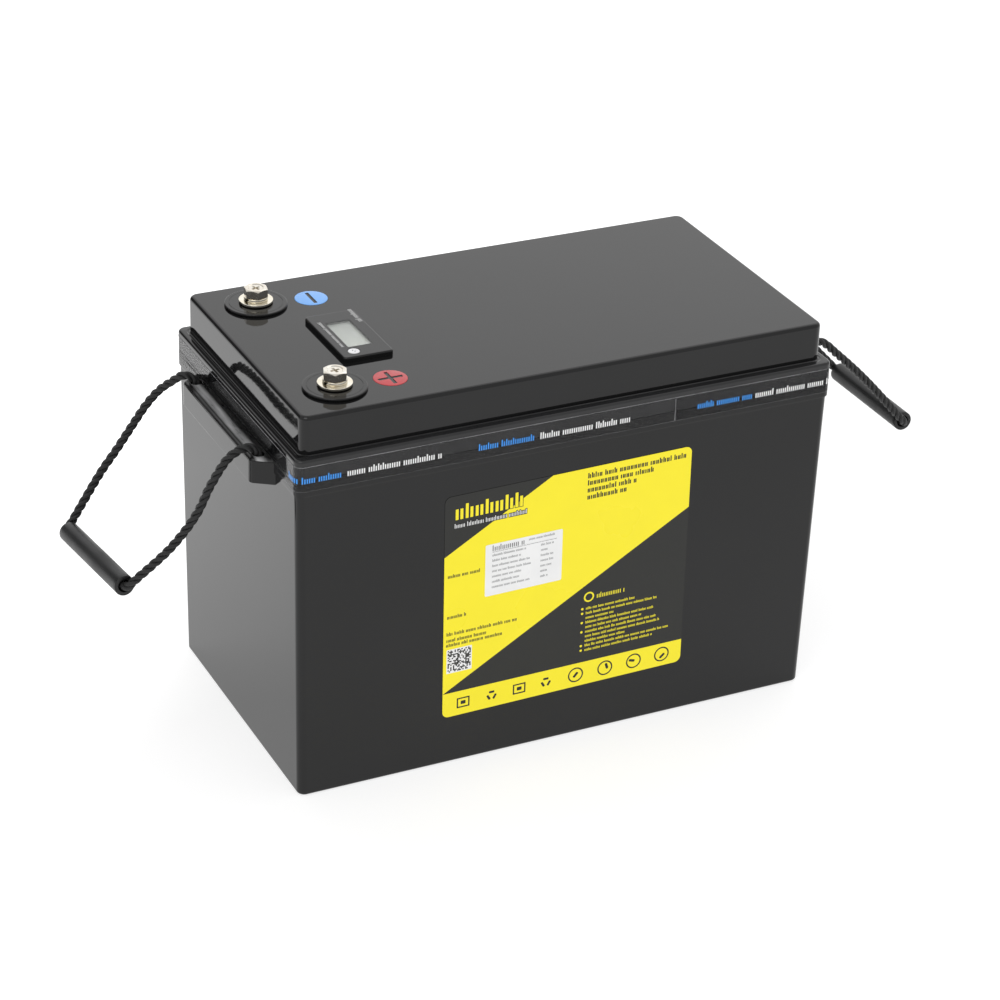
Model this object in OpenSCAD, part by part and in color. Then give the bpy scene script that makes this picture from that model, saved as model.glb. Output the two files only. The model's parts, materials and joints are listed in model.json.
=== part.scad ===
// Deep cycle battery: a plastic lift-out battery for solar and boat use, with four prismatic cells,
// a protection board, bolted terminals, a charge meter and two rope carrying handles.
// Units are millimetres. The origin is the middle of the case's flat bottom, +Z is up,
// +X runs along the length away from the terminals, and the front label faces -Y.

/* [Case] */
// Length over the rim
body_l = 345; // [330:1:360]
// Width over the rim
body_w = 189; // [180:1:200]
// Height of the lid's top face
lid_top_z = 246; // [240:0.5:252]
// Height of the joint between case and lid
seam_z = 209.5; // [207:0.5:212]
// Height of the rim's lower edge
rim_z = 199.5; // [196:0.5:203]
// How far the rim stands out from the case walls at the ends
rim_step_x = 0.75; // [0.5:0.25:2]
// How far the rim stands out from the case walls at the front and back
rim_step_y = 0.75; // [0.5:0.25:2.5]
// Draft of the end walls over their full height
draft_x = 2.2; // [0:0.1:3]
// Draft of the front and back walls over their full height
draft_y = 0.5; // [0:0.1:3]
// Wall thickness
wall = 3.2; // [2.5:0.1:4]
// Floor thickness
floor_t = 3; // [2:0.5:5]
// Radius of the upright corners
corner_r = 5; // [3:0.5:8]

/* [Lid] */
// Length of the lid's upper tier
tier_l = 334.5; // [325:0.5:340]
// Width of the lid's upper tier
tier_w = 177.5; // [170:0.5:182]
// Height of the ledge between the lid's two tiers
ledge_z = 222.3; // [219:0.1:226]
// Thickness of the lid's top
lid_t = 3; // [2:0.5:4]
// Radius of the lid's top edge
lid_edge_r = 2.6; // [1:0.1:4]

/* [Handles] */
// Depth of each handle boss out from the end wall
boss_d = 12.3; // [10:0.1:15]
// Height of a boss's flat top
boss_top_z = 207.5; // [205:0.5:209]
// Height of a boss's lower edge
boss_low_z = 192; // [188:0.5:196]
// Half length of a boss at the wall
boss_half = 61.5; // [50:0.5:70]
// Half length of a boss at its outer face
boss_half_out = 53.5; // [45:0.5:62]
// Rope radius
rope_r = 2.7; // [2.5:0.1:3.5]
// Half the distance between the two rope holes of one handle
rope_half = 49.3; // [45:0.1:52]
// Distance of the rope holes from the middle of the case
rope_hole_x = 177; // [175:0.1:178]
// Distance of the rope's bend from the middle of the case
pivot_x = 187.5; // [187:0.1:190]
// Height of the rope's bend
pivot_z = 211.5; // [211:0.1:214]
// Rope length from the bend to the grip
rope_reach = 107; // [90:1:125]
// Angle of the left handle below the horizontal
droop_left = 48.6; // [30:0.1:60]
// Angle of the right handle below the horizontal
droop_right = 42.9; // [30:0.1:60]
// Skew of the left grip, from its unequal rope ends
skew_left = 5.5; // [0:0.5:10]
// Skew of the right grip
skew_right = 3.5; // [0:0.5:10]
// Outer radius of the grip tube
grip_r = 6.1; // [4.5:0.1:7]
// Half length of the grip tube
grip_half = 41.5; // [38:0.5:46]
// Radial clearance between rope and grip tube
grip_gap = 0.08; // [0.01:0.01:0.1]

/* [Terminals] */
// Distance of the terminals from the middle of the case, towards -X
term_x = 135; // [120:1:145]
// Distance of each terminal from the centre line
term_y = 59.5; // [50:0.5:70]
// Outer radius of the insulating disc
disc_r = 18.75; // [15:0.25:20]
// Height of the insulating disc above the lid
disc_t = 1.8; // [1:0.1:3]
// Outer radius of the threaded post
post_r = 8; // [7:0.5:9]
// Height of the post's top above the lid
post_rise = 2.3; // [2:0.1:4]
// Radius of the post's threaded hole
thread_r = 4; // [4:0.05:4.1]
// Radius of the bolt's shank, which runs in that hole
shank_r = 3.92; // [3.9:0.01:3.99]
// Bolt head size across its flats
head_af = 13; // [12:0.5:14]
// Bolt head height
head_h = 5.5; // [4:0.1:6]
// Bolt shank length
shank_l = 16; // [12:1:20]
// Outer radius of the flat washer
washer_r = 10.2; // [8:0.1:12]
// Thickness of the flat washer
washer_t = 1.5; // [1:0.1:2]
// Outer radius of the spring washer
spring_r = 7.2; // [6.5:0.1:8]
// Thickness of the spring washer
spring_t = 2; // [1.5:0.1:2.5]
// Distance of the two polarity discs from the middle of the case, towards -X
polarity_x = 101.2; // [90:0.1:110]
// Distance of each polarity disc from the middle between them
polarity_y = 58; // [50:0.5:65]
// Shift of both polarity discs along Y
polarity_shift = -2.2; // [-5:0.1:5]
// Radius of the polarity discs
polarity_r = 9.9; // [8:0.1:12]

/* [Meter] */
// Position of the meter along X
meter_x = -102.2; // [-110:0.1:-95]
// Position of the meter along Y
meter_y = -3; // [-10:0.5:10]
// Width of the meter's bezel
meter_w = 31; // [28:0.5:34]
// Length of the meter's bezel
meter_l = 60; // [55:0.5:65]
// Height of the bezel above the lid
meter_h = 3; // [2:0.5:4]
// Width of the display window
window_w = 15.3; // [12:0.1:18]
// Length of the display window
window_l = 34; // [28:0.5:38]
// Radius of the push button
button_r = 3.5; // [3:0.1:4]
// Travel of the push button
button_travel = 0.6; // [0.3:0.1:1]

/* [Labels] */
// Width of the front label
label_w = 160.5; // [140:0.5:175]
// Height of the front label
label_h = 149; // [130:1:160]
// Label centre along X
label_x = 0.6; // [-10:0.1:10]
// Label centre above the base
label_z = 108.1; // [95:0.1:115]
// Turn of the label on the wall, as it was stuck on by hand
label_turn = -0.9; // [-2:0.1:2]
// Lower edge of the sealing film
tape_low_z = 201; // [199:0.5:204]
// Upper edge of the sealing film
tape_top_z = 218; // [214:0.5:220]

/* [Cells] */
// Thickness of one cell along X
cell_t = 54; // [50:0.5:56]
// Width of one cell along Y
cell_w = 173.9; // [170:0.1:174]
// Height of one cell's can
cell_h = 200; // [190:1:202]
// Distance of the cell studs from the centre line
stud_y = 60.5; // [55:0.5:65]
// Outer face of the right end plate
block_right_x = 159.5; // [155:0.5:161]
// Thickness of the end plates
plate_t = 3; // [2:0.5:4]
// Thickness of the insulating sheet between two cells
sheet_t = 0.6; // [0.4:0.1:1]

/* [Hidden] */
$fn = 64;
soft_fn = 32;          // roundness of the corners inside hull()
skin = 0.02;           // air gap between stacked pieces
thin = 0.05;           // thickness of the layers that hull() joins
ball_r = rope_r + 0.06; // ball at the swinging end of a rope
joint_swell = 1.04;     // ball at a rope or cable corner, over the size that just covers it
joint_trim = 1.02;      // how far bars stop short of a corner, over the exact mitre
cover = 1;              // how far a cutting shape reaches past the face it cuts
case_l = body_l - 2 * rim_step_x;
case_w = body_w - 2 * rim_step_y;
inner_l = case_l - 2 * wall;
inner_w = case_w - 2 * wall;
hollow_l = tier_l - 2 * lid_t;
hollow_w = tier_w - 2 * lid_t;
lip_z = seam_z - 2.7;
lip_gap = 0.3;          // clearance of the lid's lip inside the case, all round
ledge_edge_r = 1.5;     // outer edge of the lid's ledge
bead_in = 0.7;          // width of the bead that stays at the foot of the upper tier
groove_in = 2.3;        // outer edge of the groove round that bead
groove_d = 0.8;         // depth of the groove
seal_in = 1.5;          // adhesive groove under the rim: its outer side,
seal_out = 3;           // its inner side
seal_d = 0.8;           // and its depth
seal_free = 0.05;       // the bead's clearance in the groove's sides
polarity_sink = 0.4;    // depth of the recess under a polarity disc
meter_flange = 2;       // how far the bezel covers the lid round its cut-out
base_edge = 2;
wall_tilt = atan(draft_y / rim_z);
boss_x = case_l / 2 + boss_d;
boss_skin = 2.6;
boss_roof = 4;
boss_corner_r = 4;      // upright outer corners of a boss
boss_edge_r = 2.5;      // top edge of a boss
boss_sink = 1.5;        // how far a boss reaches into the case wall
knot_r = 4;
knot_z = boss_top_z - boss_roof - knot_r - skin;
knot_shift = 1.5;       // a knot sits off its hole's axis, away from the boss's slanted end
rope_tail = 8;          // rope left below the middle of a knot
rope_hole_gap = 0.8;    // clearance of the rope in its hole
bend_drop = 3.5;        // size of the chamfer the rope takes at its bend
stub_gap = 0.1;         // air between the fixed rope end and the swinging ball
grip_corner_gap = 5;    // from a tube's end to the rope's corner
grip_bore_r = rope_r + grip_gap;
grip_turn_v = grip_half + grip_corner_gap;
post_top_z = lid_top_z + post_rise;
washer_z = post_top_z + skin;
spring_z = washer_z + washer_t + skin;
head_z = spring_z + spring_t + skin;
film_t = 0.2;
film_gap = 0.4;         // the film's clearance round a boss
sticker_x = -29.1;      // sticker on the label, from the label's middle
sticker_z = 20.1;
sticker_w = 50;
sticker_h = 34.5;
sticker_t = 0.12;
post_low_z = 230;
thread_low_z = 234;
spigot_r = 11;
lug_t = 2;
lug_z = 236;
nut_af = 24;
seal_r = 14;
seal_wire_r = 0.6;
polarity_t = 0.6;
sign_l = 15;
sign_w = 2.2;
bezel_top_z = lid_top_z + meter_h;
bezel_t = 1.4;          // thickness of the bezel's face
meter_low_z = 231;
board_z = 238;
switch_top_z = 240.9;
button_off_x = -6.6;
button_off_y = -22.7;
cell_z = 5.5;
cell_top_z = cell_z + cell_h;
pitch = cell_t + sheet_t;
cells_x = block_right_x - plate_t - cell_t / 2;
block_left_x = cells_x - 3 * pitch - cell_t / 2 - plate_t;
pad_t = 2;
bar_t = 2;
stud_r = 3;
stud_top_z = cell_top_z + pad_t + bar_t + 8;
band_t = 0.6;
bms_x = block_left_x - band_t - 0.4;
pad_x = bms_x - 7.2;    // where the leads meet the protection board
pad_z = 165.1;
cable_r = 4.5;
thin_cable_r = 3.8;

// ---------------------------------------------------------------- shared shapes

// Outline of a rectangle with round corners
module round_rect(l, w, r) {
    square([l - 2 * r, w], center = true);
    square([l, w - 2 * r], center = true);
    for (sx = [-1, 1], sy = [-1, 1])
        translate([sx * (l / 2 - r), sy * (w / 2 - r)])
            circle(r);
}

// Block with round upright corners between two heights
module slab(l, w, r, z0, z1) {
    translate([0, 0, z0])
        linear_extrude(z1 - z0)
            round_rect(l, w, r);
}

// Block with a rounded top edge of radius e
module soft_top_slab(l, w, r, z0, z1, e) {
    hull() {
        slab(l, w, r, z0, z1 - e, $fn = soft_fn);
        slab(l - 0.6 * e, w - 0.6 * e, r, z1 - 0.3 * e - thin, z1 - 0.3 * e, $fn = soft_fn);
        slab(l - 2 * e, w - 2 * e, r - e / 2, z1 - thin, z1, $fn = soft_fn);
    }
}

// Round bar from point a to point b
module bar(a, b, r) {
    d = b - a;
    length = norm(d);
    translate(a)
        rotate([0, acos(d[2] / length), atan2(d[1], d[0])])
            cylinder(r = r, h = length);
}

function unit(v) = v / norm(v);

// Cable through a list of points, with a ball at each corner that covers the turn
module cable(points, r) {
    last = len(points) - 1;
    dirs = [for (i = [0 : last - 1]) unit(points[i + 1] - points[i])];
    turns = [for (i = [0 : last]) i == 0 || i == last ? 0 : acos(dirs[i - 1] * dirs[i])];
    cuts = [for (turn = turns) joint_trim * r * tan(turn / 2)];
    for (i = [0 : last - 1])
        bar(points[i] + dirs[i] * cuts[i], points[i + 1] - dirs[i] * cuts[i + 1], r);
    for (i = [1 : last - 1])
        translate(points[i])
            sphere(r = joint_swell * r / cos(turns[i] / 2));
}

// Hexagonal prism sized across its flats
module hexagon(af, h) {
    cylinder(r = af / 2 / cos(30), h = h, $fn = 6);
}

// Flat ring
module ring(r_out, r_in, h) {
    difference() {
        cylinder(r = r_out, h = h);
        translate([0, 0, -1])
            cylinder(r = r_in, h = h + 2);
    }
}

// Moves a child to one terminal: side is 1 for negative (+Y) and -1 for positive (-Y)
module at_terminal(side) {
    translate([-term_x, side * term_y, 0])
        children();
}

// ---------------------------------------------------------------- case and lid

// Solid outside of the tub: rounded foot, drafted walls and the straight rim
module tub_outside() {
    foot_l = case_l - 2 * draft_x;
    foot_w = case_w - 2 * draft_y;
    hull() {
        slab(foot_l - 2 * base_edge, foot_w - 2 * base_edge, corner_r - 1, 0, thin, $fn = soft_fn);
        slab(foot_l - 0.6 * base_edge, foot_w - 0.6 * base_edge, corner_r, 0.3 * base_edge,
            0.3 * base_edge + thin, $fn = soft_fn);
        slab(foot_l, foot_w, corner_r, base_edge, base_edge + thin, $fn = soft_fn);
        slab(case_l, case_w, corner_r, rim_z - thin, rim_z, $fn = soft_fn);
    }
    slab(body_l, body_w, corner_r, rim_z, seam_z);
}

// Hollow of the tub, open at the seam
module tub_inside() {
    hull() {
        slab(inner_l - 2 * draft_x, inner_w - 2 * draft_y, 3, floor_t, floor_t + thin,
            $fn = soft_fn);
        slab(inner_l, inner_w, 3, rim_z, rim_z + thin, $fn = soft_fn);
    }
    slab(inner_l, inner_w, 3, rim_z, seam_z + 1);
}

// Solid outside of one handle boss on the right end wall, with slanted ends
module boss_outside() {
    r = boss_corner_r;
    e = boss_edge_r;
    h = boss_top_z - boss_low_z;
    hull() {
        for (s = [-1, 1], step = [[0, e], [0.3 * e, 0.3 * e], [e, 0]])
            translate([boss_x - r, s * (boss_half_out - r), boss_low_z])
                cylinder(r = r - step[0], h = h - step[1], $fn = soft_fn);
        translate([case_l / 2 - boss_sink, -boss_half, boss_low_z])
            cube([boss_sink, 2 * boss_half, h]);
    }
}

// Hollow under one handle boss, where the rope's knots sit
module boss_inside() {
    r = boss_corner_r - 2;
    end_skin = boss_skin + 0.6;
    wall_skin = 3;
    h = boss_top_z - boss_roof - boss_low_z + cover;
    hull() {
        for (s = [-1, 1])
            translate([boss_x - boss_skin - r, s * (boss_half_out - end_skin - r), boss_low_z - cover])
                cylinder(r = r, h = h, $fn = soft_fn);
        translate([case_l / 2 + 0.15, wall_skin - boss_half, boss_low_z - cover])
            cube([0.5, 2 * (boss_half - wall_skin), h]);
    }
}

module case() {
    color([0.12, 0.12, 0.125])
        difference() {
            union() {
                difference() {
                    tub_outside();
                    tub_inside();
                }
                boss_outside();
                mirror([1, 0, 0])
                    boss_outside();
            }
            boss_inside();
            mirror([1, 0, 0])
                boss_inside();
            for (sx = [-1, 1], sy = [-1, 1])
                translate([sx * rope_hole_x, sy * rope_half, boss_low_z])
                    cylinder(r = rope_r + rope_hole_gap, h = boss_top_z - boss_low_z + cover);
        }
}

// Opening in the lid for one terminal: a hole for the post and a groove for the seal
module terminal_opening() {
    translate([0, 0, lid_top_z - lid_t - cover])
        cylinder(r = spigot_r + skin, h = lid_t + 2 * cover);
    translate([0, 0, lid_top_z - 2 * seal_wire_r])
        ring(seal_r + seal_wire_r + 0.2, seal_r - seal_wire_r - 0.2, 2 * seal_wire_r + cover);
}

module lid() {
    color([0.12, 0.12, 0.125])
        difference() {
            union() {
                soft_top_slab(body_l, body_w, corner_r, seam_z + skin, ledge_z, ledge_edge_r);
                soft_top_slab(tier_l, tier_w, corner_r + 0.5, ledge_z - 2, lid_top_z, lid_edge_r);
                slab(inner_l - 2 * lip_gap, inner_w - 2 * lip_gap, 2.7, lip_z, seam_z + 1);
            }
            slab(hollow_l, hollow_w, 2.5, lip_z - 1, lid_top_z - lid_t);
            difference() {
                slab(tier_l + 2 * groove_in, tier_w + 2 * groove_in, corner_r + 0.5 + groove_in,
                    ledge_z - groove_d, ledge_z + cover);
                slab(tier_l + 2 * bead_in, tier_w + 2 * bead_in, corner_r + 0.5 + bead_in,
                    ledge_z - groove_d - cover, ledge_z + 2 * cover);
            }
            difference() {
                slab(body_l - 2 * seal_in, body_w - 2 * seal_in, corner_r - seal_in,
                    seam_z - cover, seam_z + seal_d);
                slab(body_l - 2 * seal_out, body_w - 2 * seal_out, corner_r - seal_out,
                    seam_z - 2 * cover, seam_z + 2 * cover);
            }
            for (side = [-1, 1])
                at_terminal(side)
                    terminal_opening();
            for (side = [-1, 1])
                translate([-polarity_x, side * polarity_y + polarity_shift, lid_top_z - polarity_sink])
                    cylinder(r = polarity_r + 0.1, h = polarity_sink + cover);
            translate([meter_x, meter_y, 0])
                slab(meter_w - 2 * meter_flange, meter_l - 2 * meter_flange, 1.5,
                    lid_top_z - lid_t - cover, lid_top_z + cover);
        }
}

// Bead of adhesive that fills the groove under the lid's rim
module lid_seal() {
    color([0.85, 0.85, 0.82])
        difference() {
            slab(body_l - 2 * (seal_in + seal_free), body_w - 2 * (seal_in + seal_free),
                corner_r - seal_in - seal_free, seam_z + skin, seam_z + seal_d - skin);
            slab(body_l - 2 * (seal_out - seal_free), body_w - 2 * (seal_out - seal_free),
                corner_r - seal_out + seal_free, seam_z - cover, seam_z + cover);
        }
}

// Clear printed film around the seam, cut out over the handle bosses
module seal_tape() {
    color([0.55, 0.65, 0.75, 0.35])
        difference() {
            slab(body_l + 2 * (skin + film_t), body_w + 2 * (skin + film_t), corner_r + film_t + skin,
                tape_low_z, tape_top_z);
            slab(body_l + 2 * skin, body_w + 2 * skin, corner_r + skin, tape_low_z - 1, tape_top_z + 1);
            for (s = [-1, 1])
                translate([s * body_l / 2, 0, tape_low_z])
                    cube([10, 2 * (boss_half + film_gap), 2 * (boss_top_z + film_gap - tape_low_z)],
                        center = true);
        }
}

// Puts a flat sheet on the drafted front wall, turned by turn degrees, off the wall by gap
module on_front(x, z, turn, gap) {
    y = -(case_w / 2 - draft_y * (1 - z / rim_z));
    translate([x, y, z])
        rotate([90 + wall_tilt, 0, 0])
            rotate([0, 0, -turn])
                translate([0, 0, gap])
                    children();
}

module front_label() {
    color([1, 0.9, 0.1])
        on_front(label_x, label_z, label_turn, skin)
            linear_extrude(film_t)
                round_rect(label_w, label_h, 4);
}

module spec_sticker() {
    color([0.95, 0.95, 0.95])
        on_front(label_x + sticker_x, label_z + sticker_z, label_turn, film_t + 2 * skin)
            linear_extrude(sticker_t)
                round_rect(sticker_w, sticker_h, 1);
}

// ---------------------------------------------------------------- terminals

// Coloured disc let into the lid, cut through by its sign
module polarity_disc(side) {
    translate([-polarity_x, side * polarity_y + polarity_shift, lid_top_z - polarity_sink + skin])
        difference() {
            cylinder(r = polarity_r, h = polarity_t);
            cube([sign_w, sign_l, 4 * polarity_t], center = true);
            if (side < 0)
                cube([sign_l, sign_w, 4 * polarity_t], center = true);
        }
}

module polarity_neg() {
    color([0.3, 0.6, 0.95])
        polarity_disc(1);
}

module polarity_pos() {
    color([0.9, 0.25, 0.3])
        polarity_disc(-1);
}

// Insulating disc with a spigot that lines the hole in the lid
module terminal_disc(side) {
    at_terminal(side)
        difference() {
            union() {
                translate([0, 0, lid_top_z + skin])
                    cylinder(r = disc_r, h = disc_t - skin);
                translate([0, 0, lid_top_z - lid_t + skin])
                    cylinder(r = spigot_r, h = lid_t);
            }
            translate([0, 0, lid_top_z - lid_t - 1])
                cylinder(r = post_r + skin, h = lid_t + disc_t + 2);
        }
}

module terminal_disc_neg() {
    color([0.1, 0.1, 0.1])
        terminal_disc(1);
}

module terminal_disc_pos() {
    color([0.1, 0.1, 0.1])
        terminal_disc(-1);
}

// Threaded post that carries the current through the lid
module terminal_post(side) {
    at_terminal(side)
        difference() {
            translate([0, 0, post_low_z])
                cylinder(r = post_r, h = post_top_z - post_low_z);
            translate([0, 0, thread_low_z])
                cylinder(r = thread_r, h = post_top_z - thread_low_z + 1);
        }
}

module terminal_post_neg() {
    color([0.8, 0.65, 0.35])
        terminal_post(1);
}

module terminal_post_pos() {
    color([0.8, 0.65, 0.35])
        terminal_post(-1);
}

// Rubber ring under each insulating disc
module terminal_seals() {
    color([0.05, 0.05, 0.05])
        for (side = [-1, 1])
            at_terminal(side)
                translate([0, 0, lid_top_z - seal_wire_r])
                    rotate_extrude()
                        translate([seal_r, 0])
                            circle(seal_wire_r - skin);
}

// Thin nuts under the lid: one clamps the post, the other clamps the cable lug
module terminal_nuts() {
    nut_t = 4.9;
    color([0.75, 0.75, 0.72])
        for (side = [-1, 1], z = [lug_z - nut_t - skin, lug_z + lug_t + skin])
            at_terminal(side)
                translate([0, 0, z])
                    difference() {
                        hexagon(nut_af, nut_t);
                        translate([0, 0, -1])
                            cylinder(r = post_r + skin, h = nut_t + 2);
                    }
}

module flat_washer(side) {
    at_terminal(side)
        translate([0, 0, washer_z])
            ring(washer_r, thread_r + 0.4, washer_t);
}

module washer_neg() {
    color([0.85, 0.82, 0.72])
        flat_washer(1);
}

module washer_pos() {
    color([0.85, 0.82, 0.72])
        flat_washer(-1);
}

// Split lock washer, cut at one place
module spring_washer(side) {
    at_terminal(side)
        translate([0, 0, spring_z])
            difference() {
                ring(spring_r, thread_r + 0.3, spring_t);
                rotate([0, 0, 200])
                    translate([0, -0.6, -1])
                        cube([10, 1.2, spring_t + 2]);
            }
}

module spring_washer_neg() {
    color([0.8, 0.78, 0.7])
        spring_washer(1);
}

module spring_washer_pos() {
    color([0.8, 0.78, 0.7])
        spring_washer(-1);
}

// Hexagon bolt with a chamfered top and a cross recess
module terminal_bolt(side, turn) {
    at_terminal(side)
        translate([0, 0, head_z])
            rotate([0, 0, turn])
                difference() {
                    union() {
                        intersection() {
                            hexagon(head_af, head_h);
                            cylinder(r1 = head_af / 2 + 5.5, r2 = head_af / 2 - 0.6, h = head_h);
                        }
                        translate([0, 0, -shank_l])
                            cylinder(r = shank_r, h = shank_l + 1);
                    }
                    for (a = [0, 90])
                        rotate([0, 0, a])
                            translate([0, 0, head_h])
                                cube([6.5, 1.3, 4], center = true);
                }
}

module bolt_neg() {
    color([0.85, 0.82, 0.72])
        terminal_bolt(1, 20);
}

module bolt_pos() {
    color([0.85, 0.82, 0.72])
        terminal_bolt(-1, 8);
}

// ---------------------------------------------------------------- meter

// Moves a child to the middle of the meter
module at_meter() {
    translate([meter_x, meter_y, 0])
        children();
}

module meter_bezel() {
    color([0.1, 0.1, 0.105])
        at_meter()
            difference() {
                slab(meter_w, meter_l, 2, lid_top_z + skin, bezel_top_z);
                slab(window_w, window_l, 0.5, lid_top_z - 1, bezel_top_z + 1);
                slab(meter_w - 8, meter_l - 8, 1.5, lid_top_z - cover, bezel_top_z - bezel_t);
                translate([button_off_x, button_off_y, lid_top_z - 1])
                    cylinder(r = button_r + 0.08, h = meter_h + 2);
            }
}

module meter_window() {
    color([0.75, 0.8, 0.76, 0.5])
        at_meter()
            slab(window_w - 0.1, window_l - 0.1, 0.45, bezel_top_z - 1.3, bezel_top_z - 0.15);
}

// Liquid crystal panel under the window
module meter_lcd() {
    color([0.6, 0.66, 0.6])
        at_meter()
            slab(window_w + 3, window_l + 3, 0.5, lid_top_z - 1.2, bezel_top_z - 1.5);
}

module meter_button() {
    color([0.92, 0.92, 0.92])
        at_meter()
            translate([button_off_x, button_off_y, 0])
                union() {
                    translate([0, 0, lid_top_z - 3])
                        cylinder(r = button_r, h = meter_h + 3.1);
                    translate([0, 0, switch_top_z + button_travel + 0.05])
                        cylinder(r = 1.5, h = lid_top_z - 2.5 - switch_top_z - button_travel);
                }
}

// Clip-in box under the bezel
module meter_body() {
    color([0.16, 0.16, 0.17])
        at_meter()
            difference() {
                slab(meter_w - 4.2, meter_l - 4.2, 1.4, meter_low_z, lid_top_z);
                slab(meter_w - 7.4, meter_l - 7.4, 1, meter_low_z + 1.6, lid_top_z + 1);
                translate([0, meter_l / 2, meter_low_z + 4])
                    cube([6, 10, 3], center = true);
            }
}

// Circuit board with the push switch and a driver chip
module meter_board() {
    color([0.1, 0.4, 0.2])
        at_meter()
            union() {
                slab(meter_w - 7.6, meter_l - 7.6, 0.9, board_z, board_z + 1.6);
                translate([button_off_x - 2.75, button_off_y - 2.75, board_z + 1.5])
                    cube([5.5, 5.5, switch_top_z - board_z - 1.5]);
                translate([2, 10, board_z - 0.5])
                    cube([8, 8, 1.4], center = true);
            }
}

// Two thin wires from the meter down to the protection board
module meter_lead() {
    exit_y = meter_y + meter_l / 2;
    color([0.7, 0.1, 0.1])
        for (s = [-1, 1])
            cable([[meter_x + s * 1.4, exit_y - 3.4, meter_low_z + 4],
                [meter_x + s * 1.4, exit_y + 6, meter_low_z + 4],
                [meter_x + s * 1.4, exit_y + 8, 200],
                [pad_x, exit_y + 8 + 3 * s, 185], [pad_x, exit_y + 8 + 3 * s, pad_z]], 0.8);
}

// ---------------------------------------------------------------- handles

// Fixed rope ends of the right handle: the knot under the boss, the part in the hole and the bend
module rope_root() {
    stub_end = pivot_x - rope_r - stub_gap;
    for (s = [-1, 1])
        translate([0, s * rope_half, 0]) {
            translate([rope_hole_x, -s * knot_shift, knot_z])
                sphere(r = knot_r);
            cable([[rope_hole_x, 0, knot_z - rope_tail], [rope_hole_x, 0, pivot_z - bend_drop],
                [rope_hole_x + bend_drop, 0, pivot_z], [stub_end, 0, pivot_z]], rope_r);
        }
}

// Corner point where the rope enters the grip, in the handle's own plane
function grip_corner(s, skew) = [rope_reach + s * grip_turn_v * sin(skew),
    s * grip_turn_v * cos(skew), 0];

// Swinging part of one rope, drawn flat with X towards the grip
module rope_loop(skew) {
    cable([[0, -rope_half, 0], grip_corner(-1, skew), grip_corner(1, skew), [0, rope_half, 0]],
        rope_r);
    for (s = [-1, 1])
        translate([0, s * rope_half, 0])
            sphere(r = ball_r);
}

// Grip tube in the same plane
module grip_tube(skew) {
    translate([rope_reach, 0, 0])
        rotate([0, 0, -skew])
            rotate([90, 0, 0])
                translate([0, 0, -grip_half])
                    ring(grip_r, grip_bore_r, 2 * grip_half);
}

// Turns the flat handle down from the rope's bend on the right end wall
module hang(droop) {
    translate([pivot_x, 0, pivot_z])
        rotate([0, droop, 0])
            children();
}

module rope_root_left() {
    color([0.06, 0.06, 0.06])
        mirror([1, 0, 0])
            rope_root();
}

module rope_root_right() {
    color([0.06, 0.06, 0.06])
        rope_root();
}

module rope_left() {
    color([0.06, 0.06, 0.06])
        mirror([1, 0, 0])
            hang(droop_left)
                rope_loop(skew_left);
}

module rope_right() {
    color([0.06, 0.06, 0.06])
        hang(droop_right)
            rope_loop(skew_right);
}

module grip_left() {
    color([0.15, 0.15, 0.155])
        mirror([1, 0, 0])
            hang(droop_left)
                grip_tube(skew_left);
}

module grip_right() {
    color([0.15, 0.15, 0.155])
        hang(droop_right)
            grip_tube(skew_right);
}

// ---------------------------------------------------------------- cells

// Middle of cell i along X, counted from the left
function cell_x(i) = cells_x - (4 - i) * pitch;

// Prismatic cell with two stud terminals and a vent cap
module cell(i) {
    translate([cell_x(i), 0, 0]) {
        slab(cell_t, cell_w, 2, cell_z, cell_top_z);
        translate([0, 0, cell_top_z - 1])
            cylinder(r = 7, h = 1.6);
        for (s = [-1, 1])
            translate([0, s * stud_y, 0]) {
                translate([0, 0, cell_top_z - 1])
                    cylinder(r = 9, h = pad_t + 1);
                translate([0, 0, cell_top_z])
                    cylinder(r = stud_r, h = stud_top_z - cell_top_z);
            }
    }
}

module cell_1() {
    color([0.2, 0.4, 0.75])
        cell(1);
}

module cell_2() {
    color([0.2, 0.4, 0.75])
        cell(2);
}

module cell_3() {
    color([0.2, 0.4, 0.75])
        cell(3);
}

module cell_4() {
    color([0.2, 0.4, 0.75])
        cell(4);
}

// Insulating sheets between the cells
module cell_sheets() {
    gap = 0.04;
    color([0.85, 0.8, 0.4])
        for (i = [1 : 3])
            translate([cell_x(i) + cell_t / 2 + gap, -cell_w / 2 + 2, cell_z])
                cube([sheet_t - 2 * gap, cell_w - 4, cell_h - 2]);
}

// Aluminium plates at both ends of the cell block
module end_plates() {
    color([0.75, 0.76, 0.78])
        for (x = [block_left_x, block_right_x - plate_t + skin])
            translate([x + (plate_t - skin) / 2, 0, 0])
                slab(plate_t - skin, cell_w, 0.6, cell_z, cell_z + cell_h - 6);
}

// Steel bands around the cell block
module bands() {
    mid = (block_left_x + block_right_x) / 2;
    length = block_right_x - block_left_x;
    color([0.7, 0.7, 0.72])
        for (z = [45, 145])
            translate([mid, 0, 0])
                difference() {
                    slab(length + 2 * band_t + 2 * skin, cell_w + 2 * band_t + 2 * skin, 1, z, z + 16);
                    slab(length + 2 * skin, cell_w + 2 * skin, 0.4, z - 1, z + 17);
                }
}

// Copper bars that join the cells in series
module busbars() {
    color([0.85, 0.5, 0.3])
        for (i = [1 : 3])
            translate([cell_x(i) + pitch / 2, (i % 2 == 1 ? 1 : -1) * stud_y, cell_top_z + pad_t + skin])
                difference() {
                    translate([-pitch / 2 - 10, -10, 0])
                        cube([pitch + 20, 20, bar_t - skin]);
                    for (s = [-1, 1])
                        translate([s * pitch / 2, 0, -1])
                            cylinder(r = stud_r + 0.2, h = bar_t + 2);
                }
}

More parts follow.
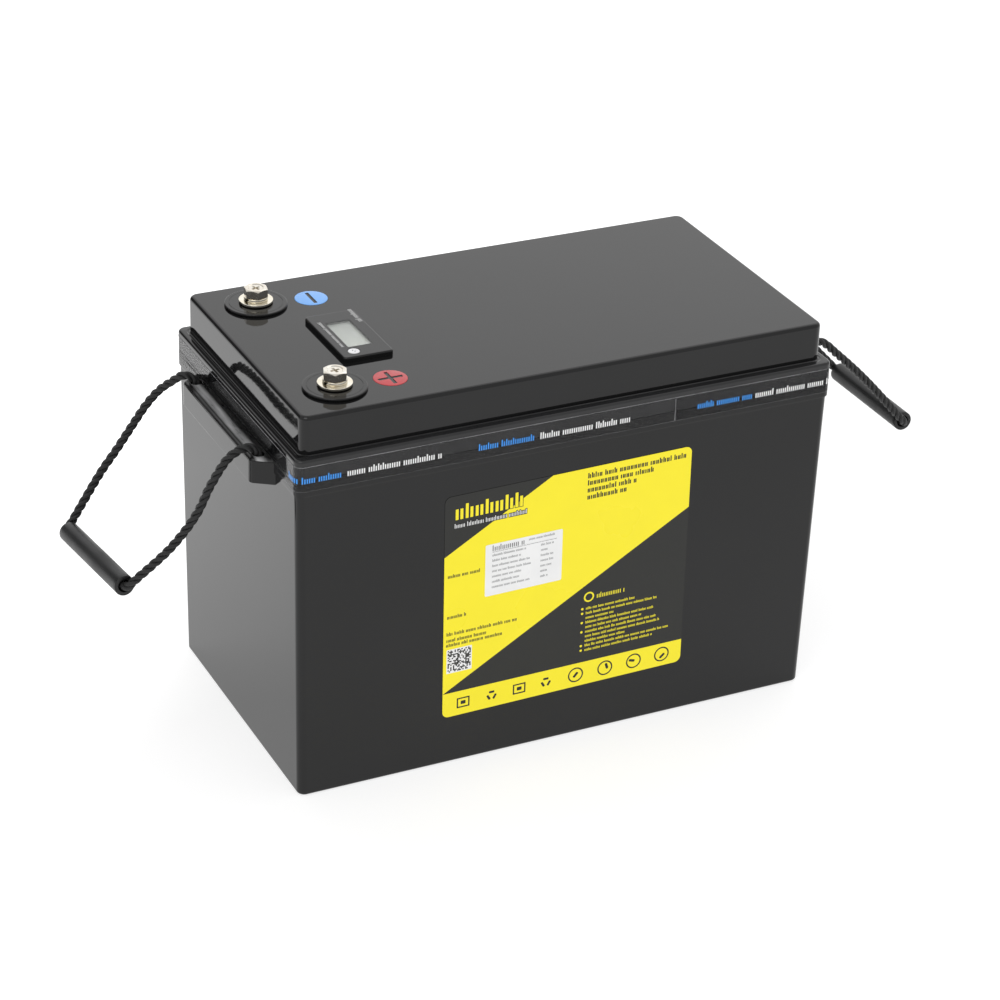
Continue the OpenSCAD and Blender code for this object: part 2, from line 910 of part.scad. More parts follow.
// Nuts on the cell studs
module cell_nuts() {
    color([0.8, 0.8, 0.8])
        for (i = [1 : 4], s = [-1, 1])
            translate([cell_x(i), s * stud_y, cell_top_z + pad_t + bar_t + skin])
                difference() {
                    hexagon(10, 5);
                    translate([0, 0, -1])
                        cylinder(r = stud_r + skin, h = 7);
                }
}

module foam_floor() {
    color([0.25, 0.25, 0.27])
        translate([(block_left_x + block_right_x) / 2, 0, 0])
            slab(block_right_x - block_left_x, cell_w - 4, 2, floor_t + skin, cell_z - skin);
}

module foam_right() {
    color([0.25, 0.25, 0.27])
        translate([block_right_x + band_t + 0.1, -80, cell_z])
            cube([5, 160, cell_h - 10]);
}

// Filler block in the free space below the terminals, clear of the protection board
module foam_left() {
    color([0.25, 0.25, 0.27])
        translate([-160, -80, floor_t + skin])
            cube([58, 160, 150]);
}

// ---------------------------------------------------------------- protection board and wiring

module bms_bracket() {
    color([0.2, 0.2, 0.2])
        translate([bms_x - 2, -70, 60])
            cube([2, 140, 130]);
}

module bms_board() {
    color([0.05, 0.3, 0.15])
        translate([bms_x - 8, -60, 75])
            difference() {
                cube([1.6, 120, 90]);
                for (y = [5, 115], z = [5, 85])
                    translate([-1, y, z])
                        rotate([0, 90, 0])
                            cylinder(r = 1.6, h = 4);
            }
}

// Power transistors between the board and its heat sink
module bms_transistors() {
    color([0.08, 0.08, 0.08])
        for (i = [0 : 9])
            translate([bms_x - 8 - 2.4 - skin, -52 + 10.6 * i, 100])
                cube([2.4, 8, 10]);
}

module bms_heatsink() {
    color([0.6, 0.6, 0.62])
        translate([bms_x - 22, -55, 96]) {
            translate([8.5, 0, 0])
                cube([3, 110, 34]);
            for (i = [0 : 10])
                translate([0, 10.7 * i, 0])
                    cube([9, 2, 34]);
        }
}

// Screws and spacers that hold the board on its bracket
module bms_screws() {
    screw_l = 8 - skin;
    head_t = 1.9;
    head_z = 0.08;
    spacer_t = 4.3;
    spacer_z = 3.65;
    color([0.8, 0.8, 0.82])
        for (y = [-55, 55], z = [80, 160])
            translate([bms_x - 10, y, z])
                rotate([0, 90, 0]) {
                    cylinder(r = 1.5, h = screw_l);
                    translate([0, 0, head_z])
                        cylinder(r = 2.8, h = head_t);
                    translate([0, 0, spacer_z])
                        cylinder(r = 2.6, h = spacer_t);
                }
}

// Flat eye of a cable lug with its hole, lying along the +X side of its centre
module lug_eye(r_out, r_hole, reach) {
    difference() {
        union() {
            cylinder(r = r_out, h = lug_t - 2 * skin);
            translate([0, -4.5, 0])
                cube([reach, 9, lug_t - 2 * skin]);
        }
        translate([0, 0, -1])
            cylinder(r = r_hole, h = lug_t + 2);
    }
}

// Red cable from the last cell to the positive post
module lead_positive() {
    run_z = 226;
    start = cell_x(4) - 22;
    low = cell_top_z + pad_t + skin;
    color([0.75, 0.08, 0.08]) {
        translate([cell_x(4), -stud_y, low])
            mirror([1, 0, 0])
                lug_eye(9, stud_r + 0.2, 22);
        translate([-term_x, -term_y, lug_z + skin])
            lug_eye(12, post_r + skin, 26);
        cable([[start + 10, -stud_y, low + 4], [start, -stud_y, low + 4],
            [start - 14, -stud_y, run_z], [-term_x + 36, -stud_y, run_z],
            [-term_x + 24, -term_y, lug_z + 1], [-term_x + 16, -term_y, lug_z + 1]], cable_r);
    }
}

// Black cable from the first cell to the protection board
module lead_cell_negative() {
    low = cell_top_z + pad_t + skin;
    color([0.08, 0.08, 0.08]) {
        translate([cell_x(1), -stud_y, low])
            mirror([1, 0, 0])
                lug_eye(9, stud_r + 0.2, 18);
        cable([[cell_x(1) - 12, -stud_y, low + 3.4], [bms_x - 6, -stud_y + 4, low + 3.4],
            [pad_x, -40, 190], [pad_x, -40, pad_z]], thin_cable_r);
    }
}

// Black cable from the protection board to the negative post
module lead_negative() {
    color([0.08, 0.08, 0.08]) {
        translate([-term_x, term_y, lug_z + skin])
            lug_eye(12, post_r + skin, 26);
        cable([[-term_x + 16, term_y, lug_z + 1], [-term_x + 30, term_y, lug_z + 1],
            [-term_x + 40, term_y - 4, lug_z - 16], [pad_x, 48, 190],
            [pad_x, 48, pad_z]], thin_cable_r);
    }
}

// Plug of the cell sensing wires
module balance_plug() {
    color([0.92, 0.9, 0.85])
        translate([bms_x - 11, -20, 160])
            cube([3, 16, 8]);
}

// Flat bundle of sensing wires from the plug up to the cell tops
module balance_harness() {
    color([0.1, 0.1, 0.1])
        for (i = [0 : 4])
            cable([[bms_x - 9.6, -17.6 + 2.8 * i, 168 + skin], [bms_x - 9.6, -17.6 + 2.8 * i, 192],
                [block_left_x + 2, -17.6 + 2.8 * i, 209 + 0.2 * i],
                [cell_x(1) + (i < 1 ? 1 : i * pitch - 20), -17.6 + 2.8 * i, 209 + 0.2 * i]], 0.9);
}

// Temperature probe with its two-core lead, laid on the second cell
module temperature_probe() {
    color([0.15, 0.15, 0.15])
        cable([[cell_x(2) + 14, 20, cell_top_z + 2.4], [block_left_x + 2, 20, cell_top_z + 2.4],
            [pad_x, 20, 190], [pad_x, 20, pad_z]], 1.5);
}

// ---------------------------------------------------------------- drawing

case();
lid();
lid_seal();
seal_tape();
front_label();
spec_sticker();
polarity_neg();
polarity_pos();
terminal_disc_neg();
terminal_disc_pos();
terminal_post_neg();
terminal_post_pos();
terminal_seals();
terminal_nuts();
washer_neg();
washer_pos();
spring_washer_neg();
spring_washer_pos();
bolt_neg();
bolt_pos();
meter_bezel();
meter_window();
meter_lcd();
meter_button();
meter_body();
meter_board();
meter_lead();
rope_root_left();
rope_root_right();
rope_left();
rope_right();
grip_left();
grip_right();
cell_1();
cell_2();
cell_3();
cell_4();
cell_sheets();
end_plates();
bands();
busbars();
cell_nuts();
foam_floor();
foam_right();
foam_left();
bms_bracket();
bms_board();
bms_transistors();
bms_heatsink();
bms_screws();
lead_positive();
lead_cell_negative();
lead_negative();
balance_harness();
balance_plug();
temperature_probe();
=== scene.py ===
"""Looks of the deep cycle battery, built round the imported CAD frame.

Shapes are written in millimetres, in the CAD frame, and become metres when a mesh is made.
+X runs along the case away from the terminals, -Y is the front with the label, +Z is up.
"""

import json
import math
import random

import bmesh
import bpy
import numpy as np
from mathutils import Matrix, Vector


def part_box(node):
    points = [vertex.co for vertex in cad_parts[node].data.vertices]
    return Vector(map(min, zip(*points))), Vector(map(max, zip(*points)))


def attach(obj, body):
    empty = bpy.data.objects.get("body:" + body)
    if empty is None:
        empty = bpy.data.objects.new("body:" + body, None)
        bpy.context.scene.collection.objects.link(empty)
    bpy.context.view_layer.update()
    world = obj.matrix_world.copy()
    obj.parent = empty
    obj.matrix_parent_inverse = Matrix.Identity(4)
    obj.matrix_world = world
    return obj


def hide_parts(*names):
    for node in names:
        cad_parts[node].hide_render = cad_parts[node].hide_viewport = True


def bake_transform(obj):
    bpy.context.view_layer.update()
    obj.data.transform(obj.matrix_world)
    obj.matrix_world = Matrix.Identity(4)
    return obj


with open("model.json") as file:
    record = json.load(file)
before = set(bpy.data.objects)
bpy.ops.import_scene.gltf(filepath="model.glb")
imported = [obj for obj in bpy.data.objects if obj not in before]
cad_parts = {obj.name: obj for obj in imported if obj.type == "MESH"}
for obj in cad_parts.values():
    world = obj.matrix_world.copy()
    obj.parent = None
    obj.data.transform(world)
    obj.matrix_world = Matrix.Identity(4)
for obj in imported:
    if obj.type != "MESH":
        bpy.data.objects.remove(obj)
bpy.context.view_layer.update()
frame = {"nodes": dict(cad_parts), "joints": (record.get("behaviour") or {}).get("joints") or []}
NODES = frame["nodes"]
JOINTS = {joint["name"]: joint for joint in frame["joints"]}
MM = 0.001
STATIC = "battery"


def box_mm(node):
    """Lowest and highest corner of a CAD node, in millimetres."""
    low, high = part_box(node)
    return low / MM, high / MM


# ---------------------------------------------------------------- driving sizes, in millimetres

CORNER_STEPS = 10
ROUND_STEPS = 5
TURN = 2 * math.pi

LID_LOW, LID_HIGH = box_mm("lid")
CASE_HIGH = box_mm("case")[1]
TAPE_LOW, TAPE_HIGH = box_mm("seal_tape")

BODY_L = LID_HIGH.x - LID_LOW.x
BODY_W = LID_HIGH.y - LID_LOW.y
LID_TOP = LID_HIGH.z
SEAM_Z = CASE_HIGH.z
CORNER_R = 5.0
WALL = 3.2
FLOOR_T = 3.0
BASE_EDGE = 2.0
RIM_Z = 199.5
CASE_L = BODY_L - 1.5
CASE_W = BODY_W - 1.5
DRAFT_X = 2.2
DRAFT_Y = 0.5

TIER_L = 334.5
TIER_W = 177.5
TIER_CORNER_R = 5.5
TIER_EDGE = 2.6
LEDGE_Z = 222.3
LEDGE_EDGE = 1.7
LID_T = 3.0
LIP_GAP = 0.02

BOSS_X = CASE_HIGH.x
BOSS_TOP = 207.5
BOSS_LOW = 192.0
BOSS_HALF = 61.5
BOSS_HALF_OUT = 53.5
BOSS_CORNER = 4.0
BOSS_SKIN = 2.6
BOSS_ROOF = 4.0

HOLE_X = 177.0
HOLE_Y = 49.3
HOLE_R = 3.5


# ---------------------------------------------------------------- shapes

class Shape:
    """Vertices in millimetres and faces with material slots, gathered before a mesh is made."""

    def __init__(self):
        self.verts = []
        self.faces = []
        self.slots = []

    def add(self, part, slot=0, place=None):
        """Adds a part, a pair of vertices and faces, moved by the matrix place."""
        verts, faces = part
        first = len(self.verts)
        if place is not None:
            verts = [place @ Vector(v) for v in verts]
        self.verts.extend(tuple(v) for v in verts)
        self.faces.extend([first + i for i in face] for face in faces)
        self.slots.extend([slot] * len(faces))
        return self

    def build(self, name, materials, smooth_deg=32):
        """Makes the object, with its faces turned outwards and its sharp edges marked."""
        mesh = bpy.data.meshes.new(name)
        mesh.from_pydata([Vector(v) * MM for v in self.verts], [], self.faces)
        for material in materials:
            mesh.materials.append(material)
        mesh.polygons.foreach_set("material_index", self.slots)
        piece = bpy.data.objects.new(name, mesh)
        bpy.context.scene.collection.objects.link(piece)
        face_outwards(mesh)
        smooth(mesh, smooth_deg)
        return piece


def face_outwards(mesh):
    """Turns every face of a closed mesh outwards."""
    work = bmesh.new()
    work.from_mesh(mesh)
    bmesh.ops.recalc_face_normals(work, faces=work.faces)
    work.to_mesh(mesh)
    work.free()


def smooth(mesh, smooth_deg):
    """Shades a mesh smooth except over edges sharper than smooth_deg."""
    mesh.polygons.foreach_set("use_smooth", [True] * len(mesh.polygons))
    mesh.set_sharp_from_angle(angle=math.radians(smooth_deg))
    mesh.update()


def flat_normals(piece):
    """Lets the large flat faces set the shading, so that only the roundings curve."""
    weights = piece.modifiers.new("weighted_normals", "WEIGHTED_NORMAL")
    weights.keep_sharp = True
    weights.weight = 90


def bake_modifiers(piece):
    """Replaces a piece's mesh by the result of its modifiers."""
    graph = bpy.context.evaluated_depsgraph_get()
    mesh = bpy.data.meshes.new_from_object(piece.evaluated_get(graph))
    piece.modifiers.clear()
    piece.data = mesh


def combine(piece, tool, operation):
    """Cuts piece by the shape tool, or joins them, and keeps only the result."""
    other = tool.build("tool", list(piece.data.materials))
    step = piece.modifiers.new("step", "BOOLEAN")
    step.operation = operation
    step.solver = "EXACT"
    step.object = other
    bake_modifiers(piece)
    bpy.data.objects.remove(other)


def tidy_mesh(piece, smooth_deg=32):
    """Removes the slivers that a cut leaves, and shades the result."""
    work = bmesh.new()
    work.from_mesh(piece.data)
    bmesh.ops.remove_doubles(work, verts=work.verts, dist=2e-6)
    bmesh.ops.dissolve_degenerate(work, edges=work.edges, dist=2e-6)
    work.to_mesh(piece.data)
    work.free()
    smooth(piece.data, smooth_deg)


def settle(piece, node=None, body=STATIC):
    """Puts a finished piece on its body, in place of a CAD node."""
    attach(piece, body)
    if node:
        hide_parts(node)


def arc(centre, radius, start, end, steps=ROUND_STEPS):
    """Points of an arc in a plane, from start to end in degrees."""
    angles = [math.radians(start + (end - start) * i / steps) for i in range(steps + 1)]
    return [(centre[0] + radius * math.cos(a), centre[1] + radius * math.sin(a)) for a in angles]


def rounded_ring(length, width, radius, z, steps=CORNER_STEPS):
    """Level rounded rectangle about the Z axis, anticlockwise from its +X side."""
    ring = []
    for quarter in range(4):
        side_x = 1 if quarter in (0, 3) else -1
        side_y = 1 if quarter in (0, 1) else -1
        centre = (side_x * (length / 2 - radius), side_y * (width / 2 - radius))
        ring += [(x, y, z) for x, y in arc(centre, radius, 90 * quarter, 90 * (quarter + 1), steps)]
    return ring


def loft(rings, closed=False):
    """Walls between rings of equal length, with flat ends unless the rings close on themselves."""
    count = len(rings[0])
    verts = [point for ring in rings for point in ring]
    faces = []
    for i in range(len(rings) if closed else len(rings) - 1):
        low = i * count
        high = (i + 1) % len(rings) * count
        for j in range(count):
            k = (j + 1) % count
            faces.append([low + j, low + k, high + k, high + j])
    if not closed:
        faces.append(list(reversed(range(count))))
        faces.append([(len(rings) - 1) * count + j for j in range(count)])
    return verts, faces


def disc_outline(radius, steps=48):
    """Outline of a circle."""
    return [(radius * math.cos(TURN * i / steps), radius * math.sin(TURN * i / steps))
            for i in range(steps)]


def disc_ring(radius, z, steps):
    """Level ring of points round the Z axis."""
    return [(x, y, z) for x, y in disc_outline(radius, steps)]


def lathe(profile, steps=72, closed=False):
    """Turns a profile of (radius, z) about the Z axis. Its ends are on the axis unless it is closed."""
    return loft([disc_ring(radius, z, steps) for radius, z in profile], closed)


def prism(outline, low, high):
    """Upright solid over a flat outline."""
    return loft([[(x, y, low) for x, y in outline], [(x, y, high) for x, y in outline]])


def soft_prism(outline_at, low, high, edge, steps=ROUND_STEPS):
    """Upright solid whose top edge is rounded; outline_at gives the outline at an inset."""
    rings = [[(x, y, low) for x, y in outline_at(0)]]
    for inset, z in edge_profile(edge, high, steps):
        rings.append([(x, y, z) for x, y in outline_at(inset)])
    return loft(rings)


def edge_profile(edge, top, steps=ROUND_STEPS):
    """Inset and height of a quarter-round edge that ends at the height top."""
    return [(edge * (1 - math.cos(a)), top - edge + edge * math.sin(a))
            for a in [math.pi / 2 * i / steps for i in range(steps + 1)]]


def flat_ring(length, width, radius, steps=6):
    """Outline of a rounded rectangle, centred."""
    return [(x, y) for x, y, _ in rounded_ring(length, width, radius, 0, steps)]


def at(x, y, z=0.0, turn=0.0):
    """Matrix that turns a part about Z by turn degrees and then moves it."""
    return Matrix.Translation((x, y, z)) @ Matrix.Rotation(math.radians(turn), 4, "Z")


def centre_of(node):
    """Middle of a CAD node's box, in millimetres."""
    low, high = box_mm(node)
    return (low + high) / 2


# ---------------------------------------------------------------- material helpers

class Look:
    """A node material with one Principled shader, in object coordinates counted in metres."""

    def __init__(self, name, colour, roughness, **sockets):
        self.material = bpy.data.materials.new(name)
        self.material.use_nodes = True
        self.tree = self.material.node_tree
        self.shader = self.tree.nodes["Principled BSDF"]
        self.shader.inputs["Base Color"].default_value = (*colour, 1)
        self.shader.inputs["Roughness"].default_value = roughness
        for socket, value in sockets.items():
            self.shader.inputs[socket.replace("_", " ")].default_value = value
        self.place = self.node("ShaderNodeTexCoord").outputs["Object"]

    def node(self, kind, **inputs):
        """Adds a node; an input is a value or another node's output."""
        made = self.tree.nodes.new(kind)
        for socket, value in inputs.items():
            self.set(made.inputs[socket.replace("_", " ")], value)
        return made

    def set(self, socket, value):
        """Links a socket to an output, or sets its value."""
        if isinstance(value, bpy.types.NodeSocket):
            self.tree.links.new(value, socket)
        else:
            socket.default_value = value

    def drive(self, socket, value):
        """Feeds one of the Principled shader's sockets."""
        self.set(self.shader.inputs[socket], value)

    def stretch(self, scale, turn=(0, 0, 0)):
        """The object coordinates, scaled and turned."""
        mapping = self.node("ShaderNodeMapping", Vector=self.place)
        mapping.inputs["Scale"].default_value = scale
        mapping.inputs["Rotation"].default_value = [math.radians(a) for a in turn]
        return mapping.outputs["Vector"]

    def noise(self, scale, detail=3.0, roughness=0.5, where=None):
        """Noise between 0 and 1 with features of about 1/scale metres."""
        made = self.node("ShaderNodeTexNoise", Vector=where or self.place, Scale=scale,
                         Detail=detail, Roughness=roughness)
        return made.outputs["Fac"]

    def remap(self, value, low, high, out_low, out_high):
        """Carries the range low to high over to out_low to out_high, held at its ends."""
        made = self.node("ShaderNodeMapRange", Value=value, From_Min=low, From_Max=high,
                         To_Min=out_low, To_Max=out_high)
        return made.outputs["Result"]

    def mix(self, share, first, second):
        """Colour between first and second."""
        made = self.node("ShaderNodeMix")
        made.data_type = "RGBA"
        self.set(made.inputs[0], share)
        self.set(made.inputs[6], first if isinstance(first, bpy.types.NodeSocket) else (*first, 1))
        self.set(made.inputs[7], second if isinstance(second, bpy.types.NodeSocket) else (*second, 1))
        return made.outputs[2]

    def maths(self, operation, first, second=0.0):
        """One arithmetic step."""
        made = self.node("ShaderNodeMath")
        made.operation = operation
        self.set(made.inputs[0], first)
        self.set(made.inputs[1], second)
        return made.outputs[0]

    def axis(self, name, where=None):
        """One of the coordinates X, Y or Z."""
        return self.node("ShaderNodeSeparateXYZ", Vector=where or self.place).outputs[name]

    def bump(self, height, distance, strength=1.0):
        """Feeds a height, in shares of distance metres, to the normal."""
        made = self.node("ShaderNodeBump", Height=height, Distance=distance, Strength=strength)
        self.drive("Normal", made.outputs["Normal"])

    def rough(self, low, high, *pattern):
        """Varies the roughness between low and high; pattern is the noise's scale and detail."""
        self.drive("Roughness", self.remap(self.noise(*pattern), 0.3, 0.7, low, high))

    def speckle(self, colour, other, scale, contrast=0.25):
        """Varies the colour softly between two tones."""
        share = self.remap(self.noise(scale), 0.5 - contrast, 0.5 + contrast, 0, 1)
        self.drive("Base Color", self.mix(share, colour, other))
        return self


BLACK_IOR = 1.41


def black_gloss(name, grey=0.004, roughness=0.07, scuffed=False, ledge_sheen=False):
    """Moulded black ABS: glossy, with faint flow marks, fine dust and an orange-peel skin."""
    look = Look(name, (grey, grey, grey), roughness, IOR=BLACK_IOR)
    flow = look.mix(look.remap(look.noise(9.0), 0.25, 0.75, 0, 1), (grey, grey, grey),
                    (grey * 1.6, grey * 1.6, grey * 1.7))
    haze = look.remap(look.noise(16.0, 4.0), 0.35, 0.75, roughness * 0.8, roughness * 1.5)
    dust = look.remap(look.noise(900.0, 2.0), 0.62, 0.8, 0.0, 0.12)
    rough = look.maths("ADD", haze, dust)
    if scuffed:
        height = look.axis("Z")
        outer = look.maths("ABSOLUTE", look.axis("X"))
        inside = look.maths("MULTIPLY", look.maths("GREATER_THAN", height, (BOSS_TOP - 1.2) * MM),
                            look.maths("LESS_THAN", height, (BOSS_TOP + 0.3) * MM))
        top = look.maths("MULTIPLY", inside, look.maths("GREATER_THAN", outer, CASE_L / 2 * MM))
        streak = look.remap(look.noise(1.0, 5.0, 0.6, look.stretch((260, 40, 40))), 0.3, 0.7, 0.2, 0.55)
        rough = look.maths("MAXIMUM", rough, look.maths("MULTIPLY", top, streak))
        rise = look.remap(outer, (BOSS_X - 9.0) * MM, (BOSS_X - 6.5) * MM, 0.0, 1.0)
        fall = look.remap(outer, (BOSS_X - 4.0) * MM, (BOSS_X - 2.5) * MM, 1.0, 0.0)
        worn = look.maths("MULTIPLY", look.maths("MULTIPLY", rise, fall), look.maths("MULTIPLY", top, streak))
        flow = look.mix(worn, flow, (0.75, 0.75, 0.76))
    # Painted sheen: the lid's front and back strip below the tier gets a lighter base colour that stands in
    # for the light its ledge reflects.
    if ledge_sheen:
        across = look.maths("ABSOLUTE", look.axis("Y"))
        beside_tier = look.maths("GREATER_THAN", across, (TIER_W / 2 + 0.3) * MM)
        painted_sheen = look.maths("MULTIPLY", beside_tier, look.remap(look.noise(30.0, 3.0), 0.3, 0.7, 0.75, 1.0))
        flow = look.mix(painted_sheen, flow, (0.024, 0.024, 0.025))
    look.drive("Base Color", flow)
    look.drive("Roughness", rough)
    peel = look.maths("ADD", look.noise(420.0, 2.0), look.maths("MULTIPLY", look.noise(35.0, 1.0), 6.0))
    look.bump(peel, 0.0000035)
    return look.material


def satin_plastic(name, grey, roughness, grain=1600.0, depth=0.00004):
    """Satin moulded plastic with a fine spark-eroded grain."""
    look = Look(name, (grey, grey, grey * 1.03), roughness, IOR=1.5)
    look.speckle((grey * 0.85, grey * 0.85, grey * 0.87), (grey * 1.2, grey * 1.2, grey * 1.22), 60.0)
    look.rough(roughness - 0.07, roughness + 0.07, 45.0, 4.0)
    look.bump(look.noise(grain, 3.0), depth)
    return look.material


def tube_plastic(name):
    """Extruded grip tube: satin, with fine lines and rubbed patches from hands."""
    look = Look(name, (0.009, 0.009, 0.0095), 0.4, IOR=1.43)
    look.speckle((0.006, 0.006, 0.0065), (0.013, 0.013, 0.0135), 40.0)
    lines = look.noise(1.0, 3.0, 0.6, look.stretch((1400, 40, 1400)))
    look.rough(0.34, 0.5, 30.0, 4.0)
    look.bump(lines, 0.00003)
    return look.material


def metal(name, colour, roughness, tint=None, grain=(900, 900, 900)):
    """Machined or plated metal with fine tool marks and uneven tarnish."""
    look = Look(name, colour, roughness, Metallic=1.0)
    look.speckle(colour, tint or tuple(c * 0.86 for c in colour), 160.0)
    marks = look.noise(1.0, 4.0, 0.6, look.stretch(grain))
    look.drive("Roughness", look.remap(marks, 0.3, 0.7, roughness * 0.7, roughness * 1.4))
    look.bump(marks, 0.00001)
    return look.material


def turned_metal(name, colour, roughness, tint):
    """Bright plated steel with a fine grain, an uneven tint and uneven roughness."""
    look = Look(name, colour, roughness, Metallic=1.0)
    look.speckle(colour, tint, 220.0)
    look.rough(roughness * 0.6, roughness * 1.5, 600.0, 4.0)
    look.bump(look.noise(1500.0, 3.0), 0.000006)
    return look.material


def rope_fibre(name):
    """Black polypropylene strands: fine filaments along each strand, with a soft sheen."""
    look = Look(name, (0.014, 0.014, 0.014), 0.55, IOR=1.45)
    uv = look.node("ShaderNodeTexCoord").outputs["UV"]
    lined = look.node("ShaderNodeMapping", Vector=uv)
    lined.inputs["Scale"].default_value = (0.25, 26.0, 1.0)
    filaments = look.noise(1.0, 3.0, 0.6, lined.outputs["Vector"])
    look.drive("Base Color", look.mix(look.remap(filaments, 0.3, 0.75, 0, 1),
                                      (0.0015, 0.0015, 0.0015), (0.022, 0.022, 0.023)))
    look.drive("Roughness", look.remap(filaments, 0.3, 0.7, 0.38, 0.62))
    look.drive("Sheen Weight", 0.04)
    look.bump(filaments, 0.00035)
    return look.material


def ink(name, colour, roughness=0.22, fade=0.9):
    """Printed vinyl: even ink with faint mottling under a clear coat."""
    look = Look(name, colour, roughness, IOR=1.45)
    look.speckle(colour, tuple(c * fade for c in colour), 55.0)
    look.rough(roughness * 0.8, roughness * 1.3, 24.0, 3.0)
    look.bump(look.noise(300.0, 2.0), 0.00001)
    return look.material


def clear_film(name):
    """Clear sealing film: see-through and glossy, with small wrinkles."""
    look = Look(name, (0.01, 0.01, 0.012), 0.08, IOR=1.4)
    look.drive("Alpha", look.remap(look.noise(20.0), 0.3, 0.7, 0.03, 0.08))
    look.rough(0.06, 0.16, 40.0, 3.0)
    look.bump(look.noise(14.0, 1.0), 0.00002)
    return look.material


def film_edge_highlight(name, low, high):
    """Cut edge of the film, painted light grey in patches as a highlight line; low and high bound how much it
    covers.
    """
    look = Look(name, (0.3, 0.3, 0.31), 0.35, IOR=1.4)
    look.speckle((0.22, 0.22, 0.23), (0.36, 0.36, 0.37), 40.0)
    look.drive("Alpha", look.remap(look.noise(60.0, 3.0), 0.3, 0.7, low, high))
    look.rough(0.25, 0.5, 90.0, 3.0)
    look.bump(look.noise(400.0, 2.0), 0.00002)
    return look.material


def window_glass(name):
    """Clear acrylic window with faint smears."""
    look = Look(name, (0.95, 0.97, 0.95), 0.03, IOR=1.49)
    look.drive("Roughness", look.remap(look.noise(120.0, 4.0), 0.4, 0.7, 0.02, 0.09))
    look.drive("Alpha", look.remap(look.noise(80.0, 2.0), 0.3, 0.7, 0.10, 0.16))
    look.bump(look.noise(200.0, 1.0), 0.000002)
    return look.material


def lcd_panel(name):
    """Grey-green liquid crystal panel, with painted shade that darkens it towards its back edge."""
    look = Look(name, (0.5, 0.55, 0.5), 0.3)
    low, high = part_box("meter_lcd")
    # Painted shade: the colour darkens from the panel's front edge to its back edge.
    painted_shade = look.remap(look.axis("Y"), low.y, high.y, 0.0, 1.0)
    grain = look.maths("MULTIPLY", look.noise(700.0, 2.0), 0.12)
    look.drive("Base Color", look.mix(look.maths("ADD", painted_shade, grain), (0.52, 0.55, 0.5), (0.3, 0.32, 0.3)))
    look.bump(look.noise(900.0), 0.000004)
    return look.material


def foam(name):
    """Closed-cell foam: matt, with small open cells on its cut faces."""
    look = Look(name, (0.05, 0.05, 0.055), 0.9)
    cells = look.node("ShaderNodeTexVoronoi", Vector=look.place, Scale=700.0).outputs["Distance"]
    openness = look.remap(cells, 0.0, 0.6, 0, 1)
    look.drive("Base Color", look.mix(openness, (0.02, 0.02, 0.022), (0.09, 0.09, 0.1)))
    look.bump(cells, 0.0005)
    return look.material


def circuit_board(name):
    """Green solder mask with faint copper tracks under it."""
    look = Look(name, (0.01, 0.12, 0.04), 0.3, IOR=1.5)
    tracks = look.node("ShaderNodeTexBrick", Vector=look.place, Scale=160.0, Mortar_Size=0.06)
    look.drive("Base Color", look.mix(tracks.outputs["Fac"], (0.012, 0.13, 0.04), (0.05, 0.25, 0.09)))
    look.rough(0.22, 0.4, 300.0)
    look.bump(tracks.outputs["Fac"], 0.00003)
    return look.material


def woven_sheet(name, colour, other):
    """Glass fibre sheet with a plain weave."""
    look = Look(name, colour, 0.5)
    weave = look.node("ShaderNodeTexChecker", Vector=look.stretch((900, 900, 900), (45, 0, 0)), Scale=1.0)
    look.drive("Base Color", look.mix(look.maths("MULTIPLY", weave.outputs["Fac"], 0.5), colour, other))
    look.rough(0.42, 0.6, 120.0)
    look.bump(weave.outputs["Fac"], 0.00006)
    return look.material


def soft_cable(name, colour):
    """Silicone cable jacket: dull, slightly dusty."""
    look = Look(name, colour, 0.45)
    look.speckle(colour, tuple(min(1, c * 1.35 + 0.01) for c in colour), 90.0)
    look.rough(0.36, 0.58, 200.0, 3.0)
    look.bump(look.noise(900.0, 2.0), 0.00003)
    return look.material


def cell_film(name):
    """Blue shrink film over an aluminium can, with soft wrinkles."""
    look = Look(name, (0.02, 0.11, 0.42), 0.25, Metallic=0.35)
    look.speckle((0.018, 0.1, 0.4), (0.03, 0.15, 0.5), 12.0)
    look.rough(0.18, 0.36, 30.0, 3.0)
    look.bump(look.noise(1.0, 3.0, 0.5, look.stretch((60, 60, 18))), 0.0002)
    return look.material


GLOSS = black_gloss("case_gloss", scuffed=True)
LID_GLOSS = black_gloss("lid_gloss", grey=0.005, roughness=0.04, ledge_sheen=True)
DISC_GLOSS = black_gloss("disc_gloss", grey=0.004, roughness=0.05)
BEZEL = black_gloss("bezel_gloss", grey=0.006, roughness=0.1)
GRIP = tube_plastic("grip_satin")
BUTTON = satin_plastic("button_white", 0.82, 0.3, grain=1200.0, depth=0.00001)
NICKEL = turned_metal("nickel_plate", (0.74, 0.72, 0.67), 0.1, (0.68, 0.62, 0.52))
WASHER_PLATE = turned_metal("washer_plate", (0.8, 0.77, 0.69), 0.12, (0.74, 0.68, 0.55))
BRASS = metal("machined_brass", (0.8, 0.6, 0.3), 0.22)
STEEL = metal("zinc_steel", (0.62, 0.62, 0.6), 0.3)
BAND_STEEL = metal("band_steel", (0.55, 0.56, 0.58), 0.28, grain=(60, 60, 2500))
ALUMINIUM = metal("rolled_aluminium", (0.72, 0.73, 0.75), 0.35, grain=(40, 40, 2000))
HEATSINK = metal("extruded_aluminium", (0.6, 0.61, 0.63), 0.38, grain=(1800, 50, 1800))
COPPER = metal("busbar_copper", (0.86, 0.45, 0.26), 0.27, grain=(50, 1500, 1500))
ROPE = rope_fibre("rope_fibre")
YELLOW = ink("label_yellow", (1.0, 0.86, 0.012), 0.3, 0.97)
DARK = ink("label_dark", (0.0095, 0.0098, 0.0075), 0.22, 0.8)
